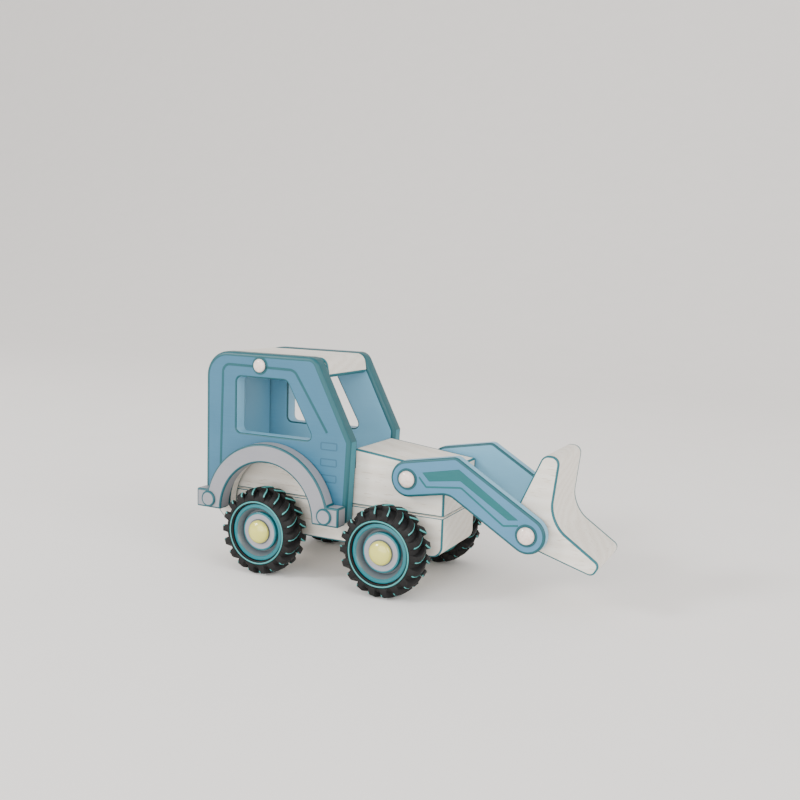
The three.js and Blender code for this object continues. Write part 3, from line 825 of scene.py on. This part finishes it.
MID_BAND = (GUARD_INNER + GUARD_OUTER) / 2
for outside, inside in ((low.x, ARCH_X - MID_BAND), (ARCH_X + MID_BAND, high.x)):
    square = [(outside, low.z, 0), (inside, low.z, 0), (inside, FOOT_TOP, 0), (outside, FOOT_TOP, 0)]
    combine(mudguard, saw_plate("foot", square, low.y, high.y), "UNION")
coat(mudguard, GREY, TEAL)
paint_border(mudguard, GUARD_EDGE + 0.15, GUARD_EDGE + 0.1)
soften(mudguard, GUARD_EDGE)
stand_on_both_sides(mudguard, "mudguard")
print("mudguard spans, mm:", [round(v / MM, 1) for v in mudguard.dimensions])

# %% [markdown]
# ## Turned pieces
#
# Pegs, rims, discs and washers come off a lathe, and Blender's spin is one: half of the section is
# drawn as a line and spun a full turn about the axle. All are drawn for the truck's right side, with
# distances across the truck counted outwards from its middle.

# %% The lathe
def turn(name, profile, x, z, steps=64, closed=False):
    """A turned piece on the right side: profile points are (radius, distance from the middle) in mm."""
    points = [place(x + radius, -out, z) for radius, out in profile]
    if closed:
        points.append(points[0])
    piece = one_vertex(name, points[0])
    draw_through(points)
    bpy.ops.mesh.select_all(action="SELECT")
    bpy.ops.mesh.spin(steps=steps, angle=math.tau, center=place(x, 0, z), axis=(0, 1, 0))
    bpy.ops.mesh.select_all(action="SELECT")
    bpy.ops.mesh.remove_doubles(threshold=MM * 0.004)
    bpy.ops.mesh.normals_make_consistent(inside=False)
    bpy.ops.object.mode_set(mode="OBJECT")
    return piece


def smooth(piece, angle):
    active(piece)
    bpy.ops.object.shade_smooth_by_angle(angle=math.radians(angle))


def quarter_arc(centre, radius, start, end, steps):
    """Points (radius, out) on an arc in a profile; angles in degrees, 0 is away from the axis."""
    turns = [math.radians(start + (end - start) * i / steps) for i in range(steps + 1)]
    return [(centre[0] + radius[0] * math.cos(a), centre[1] + radius[1] * math.sin(a)) for a in turns]


print("halfway along a quarter arc:", [round(v, 3) for v in quarter_arc((0, 0), (1, 1), 0, 90, 2)[1]])

# %% [markdown]
# ## Pegs
#
# The domed pegs on the cab and the arms are lacquered, and the flat ones through the mudguards' feet
# are painted over with them, with the line of paint round their edge. Each is one profile: a shank,
# the flat underside of the head, a small upright edge and then the dome. The flat pegs' line is
# picked by its distance from the peg's own middle.

# %% Pegs
PEG_STEPS = 48
FLAT_HEAD = 4.4
FLAT_LINE = 0.8  # mm, how wide the line round a flat head is


def peg_profile(node, head, shank, dome):
    """The profile of a peg on the right side, from the end of its shank to the top of its head."""
    low, high = span(node)
    end, top = -high.y, -low.y
    under = top - dome
    crown = quarter_arc((0, under + 0.5), (head, dome - 0.5), 0, 90, 10)
    return [(0, end), (shank, end), (shank, under), (head - 0.3, under), (head, under + 0.3)] + crown


def flat_profile(node, head, shank, rise):
    low, high = span(node)
    end, top = -high.y, -low.y
    under = top - rise
    return [(0, end), (shank, end), (shank, under), (head, under), (head, top - 0.4), (head - 0.4, top),
            (head - 1, top), (0, top)]


def make_peg_pair(node, profile, sharp, *materials):
    at = middle(f"{node}_right")
    right = turn(f"{node}_right", profile, at.x, at.z, steps=PEG_STEPS)
    coat(right, *materials)
    line_from = FLAT_HEAD - FLAT_LINE if len(materials) > 1 else math.inf
    paint_faces(right, 1, lambda centre, normal: math.hypot(centre.x - at.x, centre.z - at.z) > line_from)
    left = mirrored(right, f"{node}_left")
    for piece, side in ((right, "right"), (left, "left")):
        smooth(piece, sharp)
        stand_for(piece, f"{node}_{side}")


make_peg_pair("roof_peg", peg_profile("roof_peg_right", 3.6, 2.4, 2.0), 50, PEG)
make_peg_pair("arm_pivot_peg", peg_profile("arm_pivot_peg_right", 4.2, 3.0, 2.4), 50, PEG)
make_peg_pair("bucket_peg", peg_profile("bucket_peg_right", 4.2, 3.0, 2.4), 50, PEG)
for end in ("rear", "front"):
    guard_peg = f"mudguard_peg_{end}"
    make_peg_pair(guard_peg, flat_profile(f"{guard_peg}_right", FLAT_HEAD, 3.0, 0.8), 30, GREY, TEAL)

# %% [markdown]
# ## Printed lines
#
# The cab and the arms carry screen-printed lines, and a ring of paint lies round each peg. Ink has
# almost no thickness, so each print is a real film a tenth of a millimetre thick on the plate. A
# mask in the paint's material could draw it too, but then it would be lost wherever the mesh is used
# without its material. A line is a path that is extruded off the plate by the film's thickness. That
# makes a ribbon on edge, whose corners are rounded like a plate's, and Solidify then gives it width.

# %% Printed lines
FILM = 0.1  # mm, the thickness of the ink


def print_line(name, path, right, width, closed=False):
    """A printed line on the right-hand face at `right`, along corners (x, z, radius)."""
    points = [place(x, right, z) for x, z, _ in path]
    if closed:
        points.append(points[0])
    piece = one_vertex(name, points[0])
    draw_through(points)
    bpy.ops.mesh.select_all(action="SELECT")
    bpy.ops.mesh.remove_doubles(threshold=MM * 0.01)
    bpy.ops.mesh.select_mode(type="EDGE")
    bpy.ops.mesh.select_all(action="SELECT")
    extrude_by(Vector((0, -FILM, 0)) * MM)
    round_corners(piece, path)
    bpy.ops.mesh.select_mode(type="VERT")
    bpy.ops.mesh.select_all(action="SELECT")
    bpy.ops.mesh.normals_make_consistent(inside=False)
    bpy.ops.object.mode_set(mode="OBJECT")
    band = piece.modifiers.new("line width", "SOLIDIFY")
    band.thickness = width * MM
    band.offset = 0
    band.use_even_offset = True
    apply_modifier(piece, band)
    return piece


def lay_print(piece, material, node, other_node):
    """Lays a print on the right plate, and its twin on the left one."""
    coat(piece, material)
    left = mirrored(piece, piece.name.replace("right", "left"))
    for printed, plate in ((piece, node), (left, other_node)):
        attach(printed, BODY_OF[plate])


print("ink, mm thick:", FILM)

# %% [markdown]
# ## The cab's line and vents
#
# A teal line follows the cab's rear, top and windscreen edges, and three small vents are outlined in
# a faint blue low on the door. Vents could be sawn, but an outline this faint has no depth, so both
# are ink and are printed in the same way, on both sides of the truck.

# %% The cab's line and vents
CAB_FACE = span("cab_side_right")[0].y
CAB_LINE = [(-32.9, 27, 0), (-31.6, 86.7, 4.5), (14, 86.1, 5), (34.5, 55, 0)]
VENT_REAR, VENT_FRONT = 31.0, 40.4
VENT_BOTTOMS = (46.3, 37.8, 29.4)
VENT_HEIGHT = 3.6
VENT_CORNER = 0.6

cab_line = print_line("cab_line_right", CAB_LINE, CAB_FACE, width=1.35)
lay_print(cab_line, TEAL, "cab_side_right", "cab_side_left")
for i, bottom in enumerate(VENT_BOTTOMS):
    ends = [(VENT_REAR, bottom), (VENT_FRONT, bottom)]
    ends += [(x, bottom + VENT_HEIGHT) for x, _ in reversed(ends)]
    corners = [(x, z, VENT_CORNER) for x, z in ends]
    vent = print_line(f"cab_vent_{i + 1}_right", corners, CAB_FACE, width=0.6, closed=True)
    lay_print(vent, FAINT, "cab_side_right", "cab_side_left")
print("cab line:", len(cab_line.data.polygons), "faces; vents on each side:", len(VENT_BOTTOMS))

# %% [markdown]
# ## Lift arms
#
# Each arm is a strap of even width round a bend. It is drawn with square ends that reach past the
# pegs by half its width, and those corners are rounded by that same half width, which makes each end
# a half circle round its peg. Where the strap bends, its sides meet on the line that halves the bend.

# %% Lift arms
ARM_PIVOT = middle("arm_pivot_peg_right")
BUCKET_PIVOT = middle("bucket_peg_right")
ELBOW = Vector((ARM_PIVOT.x + 24, 0, ARM_PIVOT.z + 4.3))
ARM_HALF_WIDTH = 9.2
ARM_HOLE = 3.1
ARM_EDGE = 1.1
UNDER_ELBOW, OVER_ELBOW = 8, 4  # mm, the bend's radius below and above
NEARLY = 0.998  # of the half width, so that two rounded corners do not meet in one point


def strap_corners(start, elbow, end, half):
    """The outline of a bent strap with half-round ends, as corners (x, z, radius)."""
    a, b, c = [Vector((p.x, p.z)) for p in (start, elbow, end)]
    first, second = (b - a).normalized(), (c - b).normalized()
    up = Vector((-first.y, first.x))
    up_after = Vector((-second.y, second.x))
    mitre = (up + up_after).normalized()
    reach = half / mitre.dot(up)
    start_edge, end_edge = a - first * half, c + second * half
    round_end = half * NEARLY
    lower = [start_edge - up * half, b - mitre * reach, end_edge - up_after * half]
    upper = [end_edge + up_after * half, b + mitre * reach, start_edge + up * half]
    radii = [round_end, UNDER_ELBOW, round_end, round_end, OVER_ELBOW, round_end]
    return [(p.x, p.y, r) for p, r in zip(lower + upper, radii)]


low, high = span("lift_arm_right")
strap = strap_corners(ARM_PIVOT, ELBOW, BUCKET_PIVOT, ARM_HALF_WIDTH)
arm = saw_plate("lift_arm_right", strap, low.y, high.y)
for pivot in (ARM_PIVOT, BUCKET_PIVOT):
    drill(arm, pivot.x, pivot.z, ARM_HOLE)
coat(arm, ARM_BLUE, TEAL, PAINTED_LIGHT_BLUE)
paint_border(arm, ARM_EDGE + 0.25, ARM_EDGE + 0.1)
# The arm's edges and inner face take the lighter blue, painted light.
paint_faces(arm, 2, lambda centre, normal: abs(normal.y) < 0.5)
paint_inside(arm, 2)
soften(arm, ARM_EDGE, segments=4)
stand_on_both_sides(arm, "lift_arm")

# %% [markdown]
# ## Stripe and line on the arms
#
# Each arm carries a solid teal stripe that tapers to a point at both ends and bends with the arm, and
# a thin line that runs along below it. The stripe is broad enough to be a plate of its own, as
# thick as the ink. The line is printed like the cab's.

# %% Stripe and line on the arms
ARM_FACE = span("lift_arm_right")[0].y
STRIPE_CORNERS = [(88.3, 40.5, 0), (107.8, 44.3, 0), (138.7, 23.5, 0), (133.8, 22.8, 0), (108.6, 38.7, 0),
                  (92.2, 36.5, 0)]
ARM_LINE = [(86.7, 38, 0), (90.7, 33.5, 0.8), (109.2, 35.4, 2), (131.4, 19.8, 1.5), (138.8, 20.9, 0)]

stripe = saw_plate("arm_stripe_right", STRIPE_CORNERS, ARM_FACE - FILM, ARM_FACE)
lay_print(stripe, STRIPE, "lift_arm_right", "lift_arm_left")
arm_line = print_line("arm_line_right", ARM_LINE, ARM_FACE, width=0.9)
lay_print(arm_line, STRIPE, "lift_arm_right", "lift_arm_left")
print("stripe, mm long:", round(stripe.dimensions.x / MM, 1))

# %% [markdown]
# ## Rings round the pegs
#
# The holes for the domed pegs are ringed with deep teal, so that each pale head stands out. A ring is
# round, so it comes off the lathe as a very flat washer instead of being drawn as a line.

# %% Rings round the pegs
def ring_print(name, at, face, inner, outer):
    out = -face
    flat_washer = [(inner, out), (outer, out), (outer, out + FILM), (inner, out + FILM)]
    return turn(name, flat_washer, at.x, at.z, closed=True)


roof_ring = ring_print("roof_peg_ring_right", middle("roof_peg_right"), CAB_FACE, 2.6, 4.9)
lay_print(roof_ring, TEAL, "cab_side_right", "cab_side_left")
for name, at in (("arm_pivot_ring_right", ARM_PIVOT), ("bucket_pivot_ring_right", BUCKET_PIVOT)):
    ring = ring_print(name, at, ARM_FACE, 3.5, 5.5)
    lay_print(ring, TEAL, "lift_arm_right", "lift_arm_left")
print("rings, mm across:", round(roof_ring.dimensions.x / MM, 1), "and", round(ring.dimensions.x / MM, 1))

# %% [markdown]
# ## Bucket
#
# The bucket is one thick piece, sawn to a bent profile and as wide as the gap between the arms. Its
# scoop is a large inside radius, which the same corner rounding makes. The corners are measured
# from the bucket's own pivot, as on the bench.

# %% Bucket
BUCKET_CORNERS = [(-14.2, -3.9, 7), (30.4, -17.3, 3), (33.8, -11.1, 3), (8.8, 6.1, 16), (12.2, 37.7, 4),
                  (3.9, 37.7, 4)]

low, high = span("bucket")
profile = [(BUCKET_PIVOT.x + x, BUCKET_PIVOT.z + z, radius) for x, z, radius in BUCKET_CORNERS]
bucket = saw_plate("bucket", profile, low.y, high.y)
coat(bucket, BEECH, EDGE_LINE)
paint_rim(bucket, right=LINE_ON_WOOD + 0.5, left=LINE_ON_WOOD + 1.5)
soften(bucket, LINE_ON_WOOD)
stand_for(bucket, "bucket")

# %% [markdown]
# ## Rims and hub discs
#
# The rim is a dished wheel with a raised lip. The lip is bright teal, and the slope inside it is
# a dark grey that is painted shade in the recess, so the faces of the slope are picked by their
# distance from the axle and given the second material. The disc in the dish is a separate, paler
# piece with a teal edge, and its middle under the peg's head is the same dark grey, which shows as
# a thin ring of painted shadow round the head. Both are turned for the rear right wheel only.

# %% Rims and hub discs
RIM_RADIUS = 15.3
LIP_INNER = 13.0
DISH = 4.6  # mm deep
BORE = 3.5
DISC_RADIUS = 10.3
UNDER_PEG = 6.8  # mm from the axle; the disc is painted dark inside it, and the part outside the peg's head is painted shadow
WHEEL_STEPS = 96


def outwards(node):
    """How far a right-hand node's inner and outer sides are from the truck's middle, in mm."""
    low, high = span(node)
    return -high.y, -low.y


def axle_distance(face):
    """How far a face of a wheel at the rear is from its axle, in mm."""
    offset = face.center - place(0, 0, 0)
    return math.hypot(offset.x, offset.z) / MM


rim_in, rim_out = outwards("rim_rear_right")
dish_floor = rim_out - DISH
lip = [(RIM_RADIUS, rim_out - 0.8), (RIM_RADIUS - 0.3, rim_out - 0.2), (RIM_RADIUS - 0.9, rim_out),
       (LIP_INNER + 0.5, rim_out), (LIP_INNER, rim_out - 0.5)]
dish = [(DISC_RADIUS + 1.0, dish_floor), (BORE, dish_floor)]
rim_profile = [(BORE, rim_in), (RIM_RADIUS, rim_in), *lip, *dish]
rim = turn("rim_rear_right", rim_profile, 0, 0, steps=WHEEL_STEPS, closed=True)
coat(rim, RIM_TEAL, HUB_SHADE_GREY)
# The dish's faces take the dark grey, painted shade in the recess.
for face in rim.data.polygons:
    in_dish = axle_distance(face) < LIP_INNER and face.center.y / MM < 0.5 - dish_floor
    face.material_index = 1 if in_dish else 0

disc_in, disc_out = outwards("hub_disc_rear_right")
disc_edge = [(DISC_RADIUS, disc_out - 0.6), (DISC_RADIUS - 0.2, disc_out - 0.2),
             (DISC_RADIUS - 0.6, disc_out), (DISC_RADIUS - 1.0, disc_out)]
disc_profile = [(BORE, disc_in), (DISC_RADIUS, disc_in), *disc_edge, (UNDER_PEG, disc_out), (BORE, disc_out)]
disc = turn("hub_disc_rear_right", disc_profile, 0, 0, steps=WHEEL_STEPS, closed=True)
coat(disc, DISC_GREY, RIM_TEAL, HUB_SHADE_GREY)
# Faces under the peg's head take the dark grey, which shows round the head as painted shadow.
for face in disc.data.polygons:
    from_axle = axle_distance(face)
    face.material_index = 1 if from_axle > DISC_RADIUS - 1 else 2 if from_axle < UNDER_PEG else 0
print("rim, mm across:", round(rim.dimensions.x / MM, 1), "disc:", round(disc.dimensions.x / MM, 1))

# %% [markdown]
# ## Axle pegs and washers
#
# A glossy yellow peg holds each wheel and is the wheel's axle, so it has the same profile as the
# other domed pegs. A plain beech washer keeps the wheel off the chassis. Its edges are taken off
# by half a millimetre in the profile itself, since a washer is turned too.

# %% Axle pegs and washers
WASHER_RADIUS = 6.8
AXLE_STEPS = 64

axle_peg_profile = peg_profile("axle_peg_rear_right", 6.2, 3.2, 3.4)
axle_peg = turn("axle_peg_rear_right", axle_peg_profile, 0, 0, steps=AXLE_STEPS)
coat(axle_peg, YELLOW)

washer_in, washer_out = outwards("spacer_washer_rear_right")
washer_profile = [(BORE, washer_in), (WASHER_RADIUS - 0.5, washer_in), (WASHER_RADIUS, washer_in + 0.5),
                  (WASHER_RADIUS, washer_out - 0.5), (WASHER_RADIUS - 0.5, washer_out), (BORE, washer_out)]
washer = turn("spacer_washer_rear_right", washer_profile, 0, 0, steps=AXLE_STEPS, closed=True)
coat(washer, BEECH)
print("washer, mm thick:", round(washer_out - washer_in, 1))

# %% [markdown]
# ## A tyre's carcass
#
# The carcass is turned like the rims, from one closed profile: the crown of the tread, the shoulder,
# the side wall with a round bead on it, and the seat on the rim. The other side's profile is the
# same points mirrored. The bead carries a pale teal line.

# %% A tyre's carcass
TYRE_RADIUS = 23.1
GROOVE = TYRE_RADIUS - 2.3  # the tread between the lugs
BEAD = (16.2, 16.8)  # mm from the axle, the painted top of the bead
CARCASS_STEPS = 108

tyre_in, tyre_out = outwards("tyre_rear_right")
TYRE_MID = (tyre_in + tyre_out) / 2
half = (tyre_out - tyre_in) / 2


def carcass_side(sign):
    """One side of the carcass's profile, from the crown to the bead, in order outwards."""
    points = [(GROOVE, 0.0), (GROOVE - 0.15, half * 0.45), (GROOVE - 0.9, half * 0.72),
              (GROOVE - 2.1, half * 0.9), (GROOVE - 3.2, half - 0.35), (GROOVE - 3.6, half - 0.25),
              (17.1, half - 0.7), (16.9, half - 0.25), (16.5, half), (16.1, half - 0.25), (15.9, half - 0.9),
              (15.45, half - 1.2)]
    return [(radius, TYRE_MID + sign * out) for radius, out in points]


outer_side = carcass_side(1)
inner_side = carcass_side(-1)
tyre = turn("tyre_rear_right", outer_side + inner_side[:0:-1], 0, 0, steps=CARCASS_STEPS, closed=True)
coat(tyre, RUBBER, LUG_HIGHLIGHT_RUBBER, BEAD_LINE)
for face in tyre.data.polygons:
    if BEAD[0] < axle_distance(face) < BEAD[1] and abs(face.center.y / MM + TYRE_MID) > half - 0.4:
        face.material_index = 2
print("carcass, mm:", [round(v / MM, 1) for v in tyre.dimensions])

# %% [markdown]
# ## One lug
#
# A lug sweeps from the middle of the tread out over the shoulder and bends back as it goes. It is
# built as a short sweep: a small section is extruded across the tread in steps, and each step is
# also turned a little about the axle, which curves the lug. One long edge of its top carries a
# pale painted highlight. The vertices of that edge are kept in a vertex group while the sweep grows,
# because their places are no longer easy to name afterwards, and the edge is then bevelled in the
# pale highlight material.

# %% One lug
LUG_WIDTH = 4.4
LUG_TOP_SHARE = 0.8  # the width of a lug's top, as a share of its foot's
CREST = 0.5  # mm, the edge along one side of a lug that carries the pale painted highlight
LUG_TOP = TYRE_RADIUS - 0.15  # a lug's top is flat, so its corners stand further out than its middle
LUG_SWEEP = [  # each step outwards: distance from the tread's middle, turn in degrees, top radius
    (0.35, 0.0, LUG_TOP), (2.2, 3.4, LUG_TOP), (4.2, 6.2, LUG_TOP - 0.1),
    (6.2, 8.2, LUG_TOP - 0.5), (7.5, 9.0, LUG_TOP - 1.3), (8.05, 9.2, LUG_TOP - 2.5)]
LUG_ROOT = 3.4  # mm from a lug's top down to inside the carcass


def sweep_lug(name):
    """One lug at the top of the wheel, in the outer row."""
    out, _, top = LUG_SWEEP[0]
    right = -(TYRE_MID + out)
    foot, crown = LUG_WIDTH / 2, LUG_WIDTH / 2 * LUG_TOP_SHARE
    section = [place(-foot, right, top - LUG_ROOT), place(foot, right, top - LUG_ROOT),
               place(crown, right, top), place(-crown, right, top)]
    lug = one_vertex(name, section[0])
    coat(lug, RUBBER, LUG_HIGHLIGHT_RUBBER, BEAD_LINE)
    draw_through(section[:3])
    bpy.ops.object.vertex_group_assign_new()
    draw_through(section[2:])
    # An extruded vertex inherits the group, so every vertex but the crest's own is taken out again.
    mesh = bmesh.from_edit_mesh(lug.data)
    layer = mesh.verts.layers.deform.active
    for vertex in mesh.verts:
        if 0 in vertex[layer] and (vertex.co - section[2]).length > MM * 0.01:
            del vertex[layer][0]
    bmesh.update_edit_mesh(lug.data)
    bpy.ops.mesh.select_all(action="SELECT")
    bpy.ops.mesh.edge_face_add()
    for before, after in zip(LUG_SWEEP, LUG_SWEEP[1:]):
        extrude_by(Vector((0, before[0] - after[0], 0)) * MM)
        turned_to = Matrix.Rotation(math.radians(after[1] - before[1]), 4, "Y")
        about = Matrix.Translation(place(0, 0, 0))
        drop = after[2] - before[2]
        mesh = bmesh.from_edit_mesh(lug.data)
        for vertex in mesh.verts:
            if vertex.select:
                vertex.co = about @ turned_to @ about.inverted() @ vertex.co
                outward = (vertex.co - place(0, 0, 0)) * Vector((1, 0, 1))
                vertex.co += outward.normalized() * drop * MM
        bmesh.update_edit_mesh(lug.data)
    bpy.ops.mesh.select_all(action="SELECT")
    bpy.ops.mesh.normals_make_consistent(inside=False)
    bpy.ops.mesh.select_all(action="DESELECT")
    bpy.ops.object.vertex_group_select()
    bpy.ops.mesh.select_mode(type="EDGE")
    # The crest's bevel takes the second material, the pale painted highlight.
    bpy.ops.mesh.bevel(offset=CREST * MM, segments=2, affect="EDGES", material=1)
    bpy.ops.object.mode_set(mode="OBJECT")
    lug.vertex_groups.clear()
    bevel = lug.modifiers.new("moulded edges", "BEVEL")
    bevel.width = 0.3 * MM
    bevel.segments = 2
    bevel.angle_limit = math.radians(60)
    apply_modifier(lug, bevel)
    return lug


outer_row = sweep_lug("outer_row")
print("one lug:", len(outer_row.data.polygons), "faces")

# %% [markdown]
# ## Two rows of lugs
#
# Spin with duplicates sets eighteen lugs round the wheel. The other row is a copy, mirrored through
# the middle of the tyre and turned by half a step, so that the rows alternate as on a tractor. Both
# rows are joined to the carcass with a Boolean, and each tyre is one closed piece of rubber.

# %% Two rows of lugs
LUGS = 18


def ring_of(lug):
    """Copies a lug round the wheel, all in one mesh."""
    in_edit_mode(lug)
    bpy.ops.mesh.select_all(action="SELECT")
    share = (LUGS - 1) / LUGS
    bpy.ops.mesh.spin(steps=LUGS - 1, angle=math.tau * share, center=place(0, 0, 0), axis=(0, 1, 0),
                      dupli=True)
    bpy.ops.object.mode_set(mode="OBJECT")


ring_of(outer_row)
inner_row = copy_of(outer_row, "inner_row")
wheel_middle = Matrix.Translation(place(0, -TYRE_MID, 0))
flip = Matrix.Scale(-1, 4, (0, 1, 0)) @ Matrix.Rotation(math.pi / LUGS, 4, "Y")
inner_row.data.transform(wheel_middle @ flip @ wheel_middle.inverted())
in_edit_mode(inner_row)
bpy.ops.mesh.select_all(action="SELECT")
bpy.ops.mesh.normals_make_consistent(inside=False)
bpy.ops.object.mode_set(mode="OBJECT")
for row in (outer_row, inner_row):
    boolean = tyre.modifiers.new("lugs", "BOOLEAN")
    boolean.operation = "UNION"
    boolean.object = row
    apply_modifier(tyre, boolean)
    bpy.data.objects.remove(row)
print("tyre faces:", len(tyre.data.polygons))

# %% [markdown]
# ## Four wheels
#
# The rear right wheel is finished, so the other three are copies of its pieces: moved to the front
# axle, and mirrored to the left. Each copy has a mesh of its own, because it rides on another body.

# %% Four wheels
WHEEL = {"tyre": tyre, "rim": rim, "hub_disc": disc, "axle_peg": axle_peg, "spacer_washer": washer}
for kind, first in WHEEL.items():
    front = copy_of(first, f"{kind}_front_right", (FRONT_AXLE_X, 0, 0))
    four = {"rear_right": first, "front_right": front, "rear_left": mirrored(first, f"{kind}_rear_left"),
            "front_left": mirrored(front, f"{kind}_front_left")}
    for corner, piece in four.items():
        smooth(piece, 35)
        stand_for(piece, f"{kind}_{corner}")
print("pieces in four wheels:", 4 * len(WHEEL))

# %% [markdown]
# ## The cove
#
# The studio is a photographer's cove: a pale sheet that lies on the floor and curves up far behind
# the truck, so that no horizon shows. It is a plane whose back edge is extruded up, and the fold is
# bevelled into a wide curve. A flat floor against a plain sky would need no second face, but it
# would show a line where the two meet.

# %% The cove
COVE_SIZE = 16  # m
COVE_BACK = 3.5  # m behind the truck
COVE_HEIGHT = 6
COVE_CURVE = 2.5

bpy.ops.object.select_all(action="DESELECT")
bpy.ops.mesh.primitive_plane_add(size=COVE_SIZE, location=(0, COVE_BACK - COVE_SIZE / 2, 0))
cove = bpy.context.active_object
cove.name = "studio_cove"
bpy.ops.object.transform_apply(location=True, rotation=True, scale=True)
in_edit_mode(cove)
bpy.ops.mesh.select_mode(type="EDGE")


def select_back_edge():
    """Selects the cove's edge that lies on the floor, at the back."""
    bpy.ops.mesh.select_all(action="DESELECT")
    mesh = bmesh.from_edit_mesh(cove.data)
    for edge in mesh.edges:
        edge.select_set(all(abs(v.co.y - COVE_BACK) < 0.01 and v.co.z < 0.01 for v in edge.verts))
    bmesh.update_edit_mesh(cove.data)


select_back_edge()
extrude_by(Vector((0, 0, COVE_HEIGHT)))
select_back_edge()
bpy.ops.mesh.bevel(offset=COVE_CURVE, segments=32, affect="EDGES")
bpy.ops.object.mode_set(mode="OBJECT")
active(cove)
bpy.ops.object.shade_smooth()
cove_material, cove_tree, cove_shader = new_material("pale studio sheet", 0.8)
sheet = along_grain(cove_tree, 1)
mottle = add(cove_tree, "ShaderNodeTexNoise", Vector=sheet, Scale=0.02, Detail=3.0).outputs["Fac"]
cove_colour = blend_colours(cove_tree, mottle, paint("F5F2EF"), paint("F1EEEB"))
cove_tree.links.new(cove_colour, cove_shader.inputs["Base Color"])
coat(cove, cove_material)
cove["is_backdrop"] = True
print("cove:", len(cove.data.polygons), "faces")

# %% [markdown]
# ## Light
#
# A bright even sky keeps the shade soft. The key lamp on the left gives the shapes their modelling, a
# low one beside the camera reaches through the window into the cab, and a third one lights the
# front. One large lamp would be simpler, but the windscreen's side and the bucket would then sink
# into shade. The lamps themselves are hidden from the camera, since some of them stand in its way
# when the truck is seen from behind.

# %% Light
world = bpy.data.worlds.new("pale studio")
bpy.context.scene.world = world
world.use_nodes = True
sky = world.node_tree.nodes["Background"]
sky.inputs["Color"].default_value = paint("EDEBE9")
sky.inputs["Strength"].default_value = 1.4
AIM = (0, 0, 0.05)  # m, the middle of the truck


def soft_lamp(name, at, size, power):
    """A round lamp that looks at the truck; size in metres, power in watts."""
    bpy.ops.object.light_add(type="AREA", location=at)
    lamp = bpy.context.active_object
    lamp.name = name
    lamp.data.shape = "DISK"
    lamp.data.size = size
    lamp.data.energy = power
    lamp.visible_camera = False
    lamp.rotation_euler = (Vector(AIM) - Vector(at)).to_track_quat("-Z", "Y").to_euler()


soft_lamp("key_lamp", (-1.5, -1.6, 1.3), 0.6, 32)
soft_lamp("window_lamp", (0.1, -2.2, 0.5), 2.2, 40)
soft_lamp("front_lamp", (1.9, -0.7, 0.9), 1.6, 28)

# %% [markdown]
# ## Size
#
# The last cell prints the finished truck's box.

# %% Size
low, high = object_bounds()
print("truck, mm:", [round(v / MM, 1) for v in high - low])
